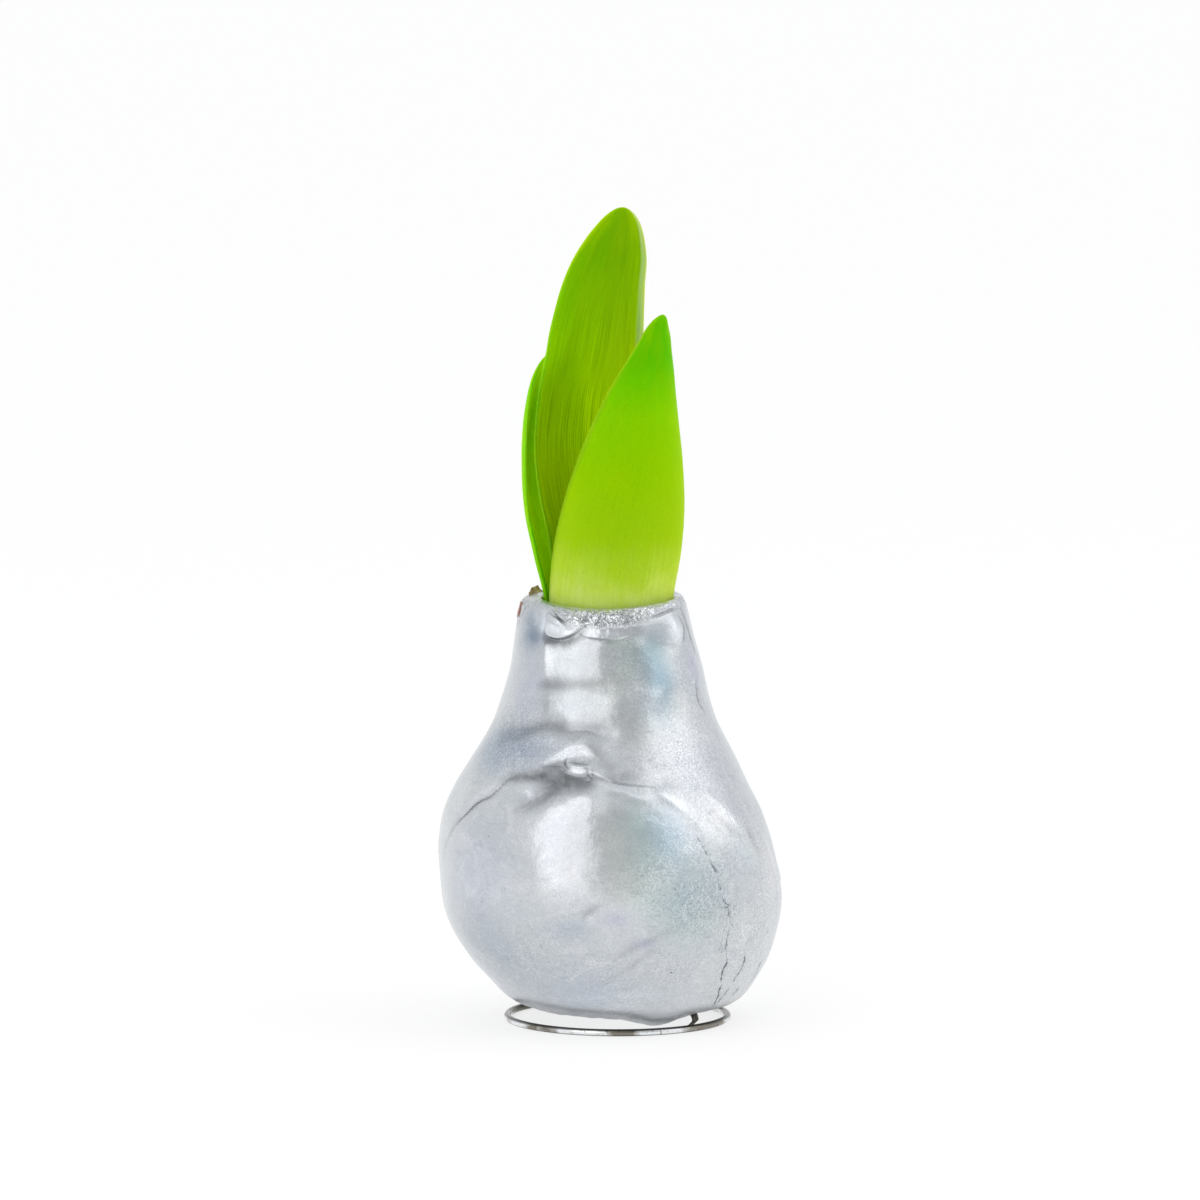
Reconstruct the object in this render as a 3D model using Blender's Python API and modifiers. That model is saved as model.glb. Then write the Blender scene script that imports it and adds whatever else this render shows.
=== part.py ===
"""An amaryllis bulb dipped in silver wax, with three young leaves, on a stand bent from wire.

Metres, +Z up. The origin is on the ground under the middle of the bulb, and the front faces -Y.
Azimuths are in degrees from +X towards +Y, so -90 is the front.
"""

import math

import bmesh
import bpy
from mathutils import Vector

MM = 0.001

# Driving dimensions
GAP = 0.3 * MM
WAX_SIDE = 1.5 * MM
WAX_BASE = 5.2 * MM
BASE_BLEND = (8 * MM, 17 * MM)
WIRE = 2.0 * MM
RING_RADIUS = 30.7 * MM
RING_X = 2.1 * MM
RISER_AZIMUTH = -45.5
STRUT_HEIGHT = 5.2 * MM
WIRE_BEND = 2.2 * MM
PIN_TOP = 34 * MM
RISER_THINNING = 0.03 * MM
SOCKET_X = -0.5 * MM
SOCKET_RADIUS = 18.9 * MM
SOCKET_FLOOR = 100 * MM
SOCKET_CUTTER_TOP = 140 * MM

# The dipped skin's outline as radius and height in millimetres, from the mouth down to the middle of the base
SKIN_OUTLINE = (
    (19.2, 118.7), (20.8, 119.3), (22.6, 118.0), (23.7, 114.5), (24.6, 109.5), (25.8, 103.3),
    (27.2, 97.2), (28.7, 91.2), (30.8, 85.2), (33.8, 79.0), (37.5, 72.2), (41.1, 65.5), (44.2, 58.3),
    (46.3, 50.5), (47.3, 42.0), (47.3, 34.0), (45.7, 26.2), (42.1, 18.8), (37.3, 12.0), (32.8, 7.0),
    (27.6, 4.5), (18.0, 3.6), (9.0, 3.2), (0.0, 3.1),
)
# How far the skin's middle stands off to +X, in millimetres, by height
SKIN_LEAN = (
    (0, 4.9), (4, 4.7), (11, 3.8), (18, 2.6), (26, 1.1), (38, 0.2), (51, -1.3), (65, -2.4),
    (78, -1.6), (98, -0.9), (108, -1.5), (118, -1.9),
)
# Swellings and hollows of the skin: azimuth, height, how far out, breadth in degrees, half height
SKIN_SWELLS = (
    (-152, 58, 0.7, 24, 6), (-99, 65, 1.0, 30, 6), (-99, 80, -1.0, 26, 7), (-40, 50, 0.8, 22, 12),
    (-60, 95, 0.5, 20, 7), (100, 62, 0.8, 34, 8), (60, 30, 0.6, 30, 12), (150, 88, -0.6, 30, 9),
    (170, 24, -0.7, 26, 9), (20, 74, 0.6, 26, 7),
)
# The drip under the front right: x, y, how far down, breadth, and the heights that it fades out between
DRIP = (13.0, -25.4, 2.0, 6.5)
DRIP_FADE = (4, 14)
# Above this height the mouth's edge is centred on the socket, inside these radii
NECK_HEIGHT = 112
RIM_RADII = (19.5, 23.0)
# The dip of the mouth at the front: azimuth, how far down, breadth in degrees, where it starts and is full
MOUTH_DIP = (-95, 1.9, 55, 104, 117)

# Leaves by height in millimetres: middle x and y, radius, azimuth of the midrib, half angle, thickness
FRONT_LEAF = (
    (102, -0.6, 0.0, 16.4, -60, 106, 2.2),
    (118, -0.2, 0.0, 16.8, -60, 108, 2.2),
    (133, 1.5, 0.0, 17.5, -60, 106, 2.1),
    (145, 2.8, -0.3, 17.0, -58, 100, 2.0),
    (156, 3.7, -0.8, 16.2, -54, 91, 1.9),
    (166, 4.6, -1.4, 14.7, -50, 83, 1.8),
    (176, 6.0, -2.2, 12.4, -47, 77, 1.6),
    (186, 7.6, -3.0, 9.8, -45, 72, 1.4),
    (193, 8.7, -3.6, 8.0, -44, 68, 1.2),
    (198, 9.6, -4.0, 6.6, -44, 60, 1.0),
)
TALL_LEAF = (
    (102, -0.8, 0.0, 13.7, 110, 68, 2.0),
    (118, -0.8, 0.0, 13.8, 110, 68, 2.0),
    (134, -1.6, 0.0, 15.2, 110, 68, 1.9),
    (146, -2.2, -0.8, 17.0, 112, 68, 1.8),
    (160, -2.9, -1.6, 18.2, 112, 64, 1.7),
    (172, -2.9, -2.4, 17.8, 109, 60, 1.6),
    (186, -2.2, -3.4, 16.5, 103, 56, 1.5),
    (200, -1.8, -4.2, 16.0, 93, 49, 1.4),
    (210, -0.3, -4.6, 15.5, 91, 44, 1.3),
    (219, 2.2, -4.8, 15.0, 89, 37, 1.1),
    (227, 4.2, -5.0, 14.6, 88, 26, 1.0),
)
LEFT_LEAF = (
    (102, -0.8, 0.0, 17.0, 136, 46, 1.9),
    (118, -0.8, 0.0, 17.0, 136, 46, 1.9),
    (130, -2.2, 0.3, 18.4, 138, 46, 1.9),
    (142, -3.4, 0.6, 19.6, 142, 46, 1.8),
    (156, -4.0, 0.8, 19.9, 146, 45, 1.7),
    (168, -4.0, 0.8, 19.6, 147, 42, 1.6),
    (178, -3.4, 1.0, 18.5, 145, 36, 1.3),
    (185.5, -2.4, 1.4, 17.4, 141, 28, 1.0),
)
# The share of a leaf's length that rounds off to its tip, and how far round in degrees it gets
TIP_ROUNDING = 0.16
TIP_TURN = 84
# A leaf's thickness at its margins, as a share of that along its midrib
MARGIN_THICKNESS = 0.5

# Fineness
ROUND_STEPS = 36
SKIN_ROWS = 27
LEAF_ACROSS = 10
LEAF_ALONG = 18
RING_STEPS = 64
WIRE_SIDES = 10
BEND_STEPS = 5
MERGE = 0.01 * MM


def clear_scene():
    for item in list(bpy.data.objects):
        bpy.data.objects.remove(item, do_unlink=True)


def new_collection(name):
    made = bpy.data.collections.new(name)
    bpy.context.scene.collection.children.link(made)
    return made


def new_material(name, colour, roughness, metallic=0.0):
    made = bpy.data.materials.new(name)
    made.use_nodes = True
    shader = made.node_tree.nodes["Principled BSDF"]
    shader.inputs["Base Color"].default_value = (*colour, 1)
    shader.inputs["Roughness"].default_value = roughness
    shader.inputs["Metallic"].default_value = metallic
    return made


def new_object(name, mesh, collection, material=None):
    made = bpy.data.objects.new(name, mesh)
    collection.objects.link(made)
    if material:
        mesh.materials.clear()
        mesh.materials.append(material)
        mesh.shade_smooth()
    return made


def new_cutter(name, mesh, collection):
    made = new_object(name, mesh, collection)
    made.hide_render = True
    made.display_type = "WIRE"
    return made


def cut(target, cutter):
    boolean = target.modifiers.new(cutter.name, "BOOLEAN")
    boolean.operation = "DIFFERENCE"
    boolean.object = cutter


def bake(item):
    """The object's evaluated mesh as a mesh of its own, with the object removed."""
    bpy.context.view_layer.update()
    graph = bpy.context.evaluated_depsgraph_get()
    mesh = bpy.data.meshes.new_from_object(item.evaluated_get(graph))
    mesh.transform(item.matrix_world)
    bpy.data.objects.remove(item, do_unlink=True)
    return mesh


def follow(rows, key):
    """The numbers after the first in rows, read at key from a smooth curve through every row."""
    last = len(rows) - 1
    i = next((k for k in range(last) if key < rows[k + 1][0]), last - 1)
    span = rows[i + 1][0] - rows[i][0]
    f = min(max((key - rows[i][0]) / span, 0.0), 1.0)

    def rise(k, column):
        low, high = rows[max(k - 1, 0)], rows[min(k + 1, last)]
        return span * (high[column] - low[column]) / (high[0] - low[0])

    return [
        rows[i][c] * (1 + 2 * f) * (1 - f) ** 2
        + rise(i, c) * f * (1 - f) ** 2
        + rows[i + 1][c] * f * f * (3 - 2 * f)
        + rise(i + 1, c) * f * f * (f - 1)
        for c in range(1, len(rows[0]))
    ]


def blend(low, high, value):
    f = min(max((value - low) / (high - low), 0.0), 1.0)
    return f * f * (3 - 2 * f)


def wax_thickness(height):
    return WAX_BASE + (WAX_SIDE - WAX_BASE) * blend(*BASE_BLEND, height)


def lopsided(point):
    """Moves a point of the turned skin to its place on the real, uneven one."""
    x, y, z = (value / MM for value in point)
    azimuth = math.degrees(math.atan2(y, x))
    swell = 0.0
    for middle, height, out, breadth, half_height in SKIN_SWELLS:
        turn = (azimuth - middle + 180) % 360 - 180
        swell += out * math.exp(-((turn / breadth) ** 2) - ((z - height) / half_height) ** 2)
    radius = math.hypot(x, y)
    share = 1 + swell / max(radius, 1)
    lean = follow(SKIN_LEAN, z)[0]
    if z > NECK_HEIGHT:
        lean += (SOCKET_X / MM - lean) * (1 - blend(*RIM_RADII, radius))
    x, y = x * share + lean, y * share
    drip_x, drip_y, drip_down, drip_breadth = DRIP
    away = math.hypot(x - drip_x, y - drip_y) / drip_breadth
    z -= drip_down * math.exp(-away * away) * (1 - blend(*DRIP_FADE, z))
    dip_middle, dip_down, dip_breadth, dip_start, dip_full = MOUTH_DIP
    turn = (azimuth - dip_middle + 180) % 360 - 180
    z -= dip_down * math.exp(-((turn / dip_breadth) ** 2)) * blend(dip_start, dip_full, z)
    return Vector((x, y, z)) * MM


def skin_mesh(inset=None):
    """The dipped skin as an open surface. An inset moves it inwards by that function of height."""
    rows = [(i, *point) for i, point in enumerate(SKIN_OUTLINE)]
    last = len(rows) - 1
    outline = [follow(rows, last * i / SKIN_ROWS) for i in range(SKIN_ROWS + 1)]
    mesh = bpy.data.meshes.new("outline")
    points = [(radius * MM, 0, height * MM) for radius, height in outline]
    mesh.from_pydata(points, [(i, i + 1) for i in range(SKIN_ROWS)], [])
    turned = new_object("turned", mesh, bpy.context.scene.collection)
    screw = turned.modifiers.new("Screw", "SCREW")
    screw.steps = screw.render_steps = ROUND_STEPS
    screw.use_merge_vertices = True
    screw.merge_threshold = MERGE
    mesh = bake(turned)
    surface = bmesh.new()
    surface.from_mesh(mesh)
    for vertex in surface.verts:
        vertex.co = lopsided(vertex.co)
    surface.normal_update()
    if inset:
        moves = [(v, v.normal * inset(v.co.z)) for v in surface.verts]
        for vertex, move in moves:
            vertex.co -= move
    surface.to_mesh(mesh)
    surface.free()
    return mesh


def rounded_route(corners, radius):
    """A route through corners in one plane, with an arc of the given radius at each inner corner."""
    route = [corners[0]]
    for before, corner, after in zip(corners, corners[1:], corners[2:]):
        into, out = (corner - before).normalized(), (after - corner).normalized()
        middle = corner + (out - into) * radius
        for i in range(BEND_STEPS + 1):
            turn = math.pi / 2 * i / BEND_STEPS
            route.append(middle - out * radius * math.cos(turn) + into * radius * math.sin(turn))
    return [*route, corners[-1]]


def wire_end_route():
    """From the ring straight up, in through the wax base, and up into the bulb."""
    turn = math.radians(RISER_AZIMUTH)
    out = Vector((math.cos(turn), math.sin(turn), 0)) * RING_RADIUS
    middle, up = Vector((RING_X, 0, 0)), Vector((0, 0, 1))
    corners = [
        middle + out + up * WIRE / 2,
        middle + out + up * STRUT_HEIGHT,
        middle + up * STRUT_HEIGHT,
        middle + up * PIN_TOP,
    ]
    return rounded_route(corners, WIRE_BEND)


def tube_mesh(name, route, radius):
    """A round rod along the route, closed at both ends."""
    curve = bpy.data.curves.new(name, "CURVE")
    curve.dimensions = "3D"
    curve.bevel_depth = radius
    curve.bevel_resolution = 2
    curve.use_fill_caps = True
    line = curve.splines.new("POLY")
    line.points.add(len(route) - 1)
    for point, place in zip(line.points, route):
        point.co = (*place, 1)
    mesh = bake(new_object(name, curve, bpy.context.scene.collection))
    welded = bmesh.new()
    welded.from_mesh(mesh)
    bmesh.ops.remove_doubles(welded, verts=welded.verts, dist=MERGE)
    bmesh.ops.recalc_face_normals(welded, faces=welded.faces)
    welded.to_mesh(mesh)
    welded.free()
    return mesh


def make_wax_coat(parts, cutters):
    material = new_material("silver wax", (0.72, 0.75, 0.78), 0.32, 0.85)
    coat = new_object("wax_coat", skin_mesh(), parts, material)
    thick = coat.vertex_groups.new(name="thickness")
    for vertex in coat.data.vertices:
        thick.add([vertex.index], wax_thickness(vertex.co.z) / WAX_BASE, "REPLACE")
    shell = coat.modifiers.new("Solidify", "SOLIDIFY")
    shell.thickness = WAX_BASE
    shell.offset = -1
    shell.vertex_group = thick.name
    tunnel = tube_mesh("tunnel", wire_end_route(), WIRE / 2 + GAP)
    cut(coat, new_cutter("wax_tunnel_cutter", tunnel, cutters))


def make_bulb(parts, cutters):
    """The bulb fills the wax. Its neck holds the leaf bases in a plain hole."""
    material = new_material("papery tunic", (0.34, 0.19, 0.10), 0.7)
    mesh = skin_mesh(lambda height: wax_thickness(height) + GAP)
    closed = bmesh.new()
    closed.from_mesh(mesh)
    rim = [edge for edge in closed.edges if edge.is_boundary]
    bmesh.ops.contextual_create(closed, geom=rim)
    bmesh.ops.recalc_face_normals(closed, faces=closed.faces)
    closed.to_mesh(mesh)
    closed.free()
    bulb = new_object("bulb", mesh, parts, material)
    hole = bmesh.new()
    depth = SOCKET_CUTTER_TOP - SOCKET_FLOOR
    bmesh.ops.create_cone(
        hole, cap_ends=True, segments=ROUND_STEPS, radius1=SOCKET_RADIUS, radius2=SOCKET_RADIUS,
        depth=depth,
    )
    bmesh.ops.translate(hole, verts=hole.verts, vec=(SOCKET_X, 0, SOCKET_FLOOR + depth / 2))
    hole_mesh = bpy.data.meshes.new("hole")
    hole.to_mesh(hole_mesh)
    hole.free()
    cut(bulb, new_cutter("socket_cutter", hole_mesh, cutters))
    pin_hole = tube_mesh("pin hole", wire_end_route(), WIRE / 2 + GAP)
    cut(bulb, new_cutter("pin_hole_cutter", pin_hole, cutters))


def leaf_point(rows, across, along):
    """The middle surface of a leaf: across runs from -1 to 1 between its margins, along from 0 to 1."""
    low, high = rows[0][0], rows[-1][0]
    rounding = TIP_ROUNDING * (high - low)
    straight = (high - low - rounding) / (high - low - rounding + rounding * math.pi / 2)
    if along <= straight:
        height, narrowing = low + (high - rounding - low) * along / straight, 1.0
    else:
        turn = math.radians(TIP_TURN) * (along - straight) / (1 - straight)
        height = high - rounding + rounding * math.sin(turn)
        narrowing = math.cos(turn)
    middle_x, middle_y, radius, rib, half_angle, thickness = follow(rows, height)
    turn = math.radians(rib + across * half_angle * narrowing)
    place = (middle_x + radius * math.cos(turn), middle_y + radius * math.sin(turn), height)
    return Vector(place) * MM, thickness * MM


def make_leaf(name, rows, material, parts):
    """A blade from a flat grid, bent to its place and thickened alike on both faces."""
    blade = bmesh.new()
    bmesh.ops.create_grid(blade, x_segments=LEAF_ACROSS, y_segments=LEAF_ALONG, size=1)
    blade.verts.index_update()
    thickest = max(row[-1] for row in rows) * MM
    shares = {}
    for vertex in blade.verts:
        across, along = vertex.co.x, (vertex.co.y + 1) / 2
        vertex.co, thickness = leaf_point(rows, across, along)
        fall = 1 - (1 - MARGIN_THICKNESS) * abs(across) ** 3
        shares[vertex.index] = thickness * fall / thickest
    bmesh.ops.triangulate(blade, faces=blade.faces)
    mesh = bpy.data.meshes.new(name)
    blade.to_mesh(mesh)
    blade.free()
    leaf = new_object(name, mesh, parts, material)
    thick = leaf.vertex_groups.new(name="thickness")
    for index, share in shares.items():
        thick.add([index], share, "REPLACE")
    shell = leaf.modifiers.new("Solidify", "SOLIDIFY")
    shell.thickness = thickest
    shell.offset = 0
    shell.vertex_group = thick.name


def make_leaves(parts):
    lime = new_material("leaf lime", (0.32, 0.62, 0.02), 0.38)
    make_leaf("leaf_front", FRONT_LEAF, lime, parts)
    green = new_material("leaf green", (0.20, 0.50, 0.01), 0.42)
    make_leaf("leaf_tall", TALL_LEAF, green, parts)
    deep_green = new_material("leaf deep green", (0.11, 0.33, 0.01), 0.42)
    make_leaf("leaf_left", LEFT_LEAF, deep_green, parts)


def make_wire_stand(parts, cutters):
    """The ring stands on a flat of its underside. The riser is a hair thinner, to sink into the ring."""
    material = new_material("chrome wire", (0.62, 0.62, 0.60), 0.12, 1.0)
    bpy.ops.mesh.primitive_torus_add(
        major_segments=RING_STEPS, minor_segments=WIRE_SIDES, major_radius=RING_RADIUS,
        minor_radius=WIRE / 2,
    )
    ring = bpy.context.object
    flat = WIRE / 2 * math.cos(math.pi / WIRE_SIDES)
    ring.location = (RING_X, 0, flat)
    mesh = bake(ring)
    stand = new_object("wire_stand", mesh, parts, material)
    riser = tube_mesh("riser", wire_end_route(), WIRE / 2 - RISER_THINNING)
    union = stand.modifiers.new("riser", "BOOLEAN")
    union.operation = "UNION"
    union.object = new_cutter("riser_shape", riser, cutters)


def main():
    clear_scene()
    parts = new_collection("amaryllis_bulb")
    cutters = new_collection("cutters")
    make_wax_coat(parts, cutters)
    make_bulb(parts, cutters)
    make_leaves(parts)
    make_wire_stand(parts, cutters)


main()
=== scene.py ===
"""The looks of the dipped amaryllis bulb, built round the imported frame.

Outlines and places are in millimetres, as in the part's own source, and turn into metres in new_piece.
Azimuths are in degrees from +X towards +Y, so -90 is the front. Shader nodes count in metres.
"""

import math

import bpy
import numpy as np
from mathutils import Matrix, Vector, noise


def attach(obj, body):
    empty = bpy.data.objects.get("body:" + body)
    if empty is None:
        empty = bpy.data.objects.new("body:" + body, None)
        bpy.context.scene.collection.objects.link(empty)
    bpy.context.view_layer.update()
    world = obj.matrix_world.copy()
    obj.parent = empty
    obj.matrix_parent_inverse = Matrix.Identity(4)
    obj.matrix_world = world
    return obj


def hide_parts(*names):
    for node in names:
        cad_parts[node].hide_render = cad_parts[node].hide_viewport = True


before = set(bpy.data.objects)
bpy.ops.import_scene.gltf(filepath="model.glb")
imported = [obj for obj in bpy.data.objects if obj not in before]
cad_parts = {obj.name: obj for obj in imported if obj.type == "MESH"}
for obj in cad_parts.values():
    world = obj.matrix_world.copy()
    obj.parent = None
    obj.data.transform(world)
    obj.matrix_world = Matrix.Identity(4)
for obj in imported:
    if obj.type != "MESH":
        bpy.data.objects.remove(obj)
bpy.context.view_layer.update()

MM = 0.001

# Driving dimensions, as in the part
WIRE = 2.0
RING_RADIUS = 30.7
RING_X = 2.1
RISER_AZIMUTH = -45.5
STRUT_HEIGHT = 5.2
WIRE_BEND = 2.2
RISER_THINNING = 0.03
SOCKET_X = -0.5
PART_WIRE_SIDES = 10

# The dipped skin's outline as radius and height, from inside the mouth over the rim to the base. Its rows in
# the mouth and on top of the rim differ a little from the part's, and it ends just short of the middle.
SKIN_OUTLINE = (
    (18.6, 108), (18.5, 112), (18.3, 115.5), (18.3, 117.6), (19, 118.9), (20.6, 119.3),
    (22.6, 118), (23.7, 114.5), (24.6, 109.5), (25.8, 103.3),
    (27.2, 97.2), (28.7, 91.2), (30.8, 85.2), (33.8, 79), (37.5, 72.2), (41.1, 65.5), (44.2, 58.3),
    (46.3, 50.5), (47.3, 42), (47.3, 34), (45.7, 26.2), (42.1, 18.8), (37.3, 12), (32.8, 7),
    (27.6, 4.5), (18, 3.6), (9, 3.2), (0.3, 3.1),
)
# Which point of the outline is the top of the rim
RIM_TOP = 5
# How far the skin's middle stands off to +X, by height
SKIN_LEAN = (
    (0, 4.9), (4, 4.7), (11, 3.8), (18, 2.6), (26, 1.1), (38, 0.2), (51, -1.3), (65, -2.4),
    (78, -1.6), (98, -0.9), (108, -1.5), (118, -1.9),
)
# Swellings and hollows of the skin: azimuth, height, how far out, breadth in degrees, half height
SKIN_SWELLS = (
    (-152, 58, 0.7, 24, 6), (-99, 65, 1, 30, 6), (-99, 80, -1, 26, 7), (-40, 50, 0.8, 22, 12),
    (-60, 95, 0.5, 20, 7), (100, 62, 0.8, 34, 8), (60, 30, 0.6, 30, 12), (150, 88, -0.6, 30, 9),
    (170, 24, -0.7, 26, 9), (20, 74, 0.6, 26, 7),
)
# The drip under the front right: x, y, how far down, breadth, and the heights that it fades out between
DRIP = (13, -25.4, 2, 6.5)
DRIP_FADE = (4, 14)
# Above this height, which is lower than the part's, the mouth is centred on the socket, inside these radii
NECK_HEIGHT = 106
RIM_RADII = (19.5, 23)
# The dip of the mouth at the front: azimuth, how far down, breadth in degrees, where it starts and is full
MOUTH_DIP = (-95, 1.9, 55, 104, 117)

# What follows is the fine relief that only the looks have.

# Where an upper layer of wax ends over a lower one: azimuth, height, how far the lip stands out, how deep the
# cut under it is. The line runs round the whole bulb and starts again where it ends.
OVERLAP = (
    (-167, 45.6, 0.08, 0.02), (-160, 52.5, 0.2, 0.06), (-153, 57.6, 0.35, 0.12), (-148, 61, 0.5, 0.25),
    (-144, 64.2, 0.6, 0.35), (-139, 66, 0.6, 0.35), (-136, 68.2, 0.5, 0.3), (-133, 71, 0.35, 0.2),
    (-127, 72.4, 0.2, 0.1), (-117, 73.6, 0.04, 0), (-110, 74.8, 0.05, 0.1), (-106, 74, 0.32, 0.2),
    (-101, 73.4, 0.4, 0.28), (-97, 73.6, 0.35, 0.28), (-94, 73.4, 0.35, 0.45), (-90, 72.4, 0.3, 0.35),
    (-84, 71.2, 0.22, 0.18), (-76, 70.4, 0.15, 0.04), (-67, 69.5, 0.12, 0), (-57, 65.1, 0.1, 0),
    (-47, 60.6, 0.08, 0), (-38, 52.7, 0.08, 0), (-30, 45, 0.08, 0), (-8, 39, 0.2, 0.1),
    (22, 43, 0.34, 0.24), (60, 52, 0.3, 0.2), (98, 61, 0.4, 0.34), (138, 55, 0.28, 0.2),
    (175, 48, 0.12, 0.06), (193, 45.6, 0.08, 0.02),
)
# The edge of the lobe of wax that ran down under the left of the rim, down its left side and along below
LOBE = (
    (-131, 117.4, 0, 0), (-131.6, 114.8, 0.5, 0.3), (-131.6, 112, 0.8, 0.35), (-129, 110.4, 0.95, 0.45),
    (-124, 109.8, 1, 0.5), (-118, 109.9, 1, 0.5), (-112, 111.2, 0.9, 0.5), (-107, 113.1, 0.6, 0.4),
    (-102, 115.2, 0, 0),
)
# The lower edge of the thin second band in the middle of the rim
BAND = (
    (-107, 112, 0, 0), (-101, 110.8, 0.4, 0.25), (-94, 110.4, 0.5, 0.35), (-84, 110.4, 0.4, 0.3),
    (-77, 110.9, 0.15, 0.1), (-70, 112, 0, 0),
)
# The upright edge of a thicker plate of wax on the left of the neck, as azimuth, height and how far out,
# and then how far to the side the plate flattens out
PLATE = (
    (-130, 110.4, 0), (-130.4, 108, 1.1), (-130.2, 105, 1.3), (-129.6, 102, 1.25), (-128.6, 99, 1),
    (-126.5, 96, 0.5), (-124.5, 91, 0.35), (-122.5, 85, 0),
)
PLATE_WIDTH = 8
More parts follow.
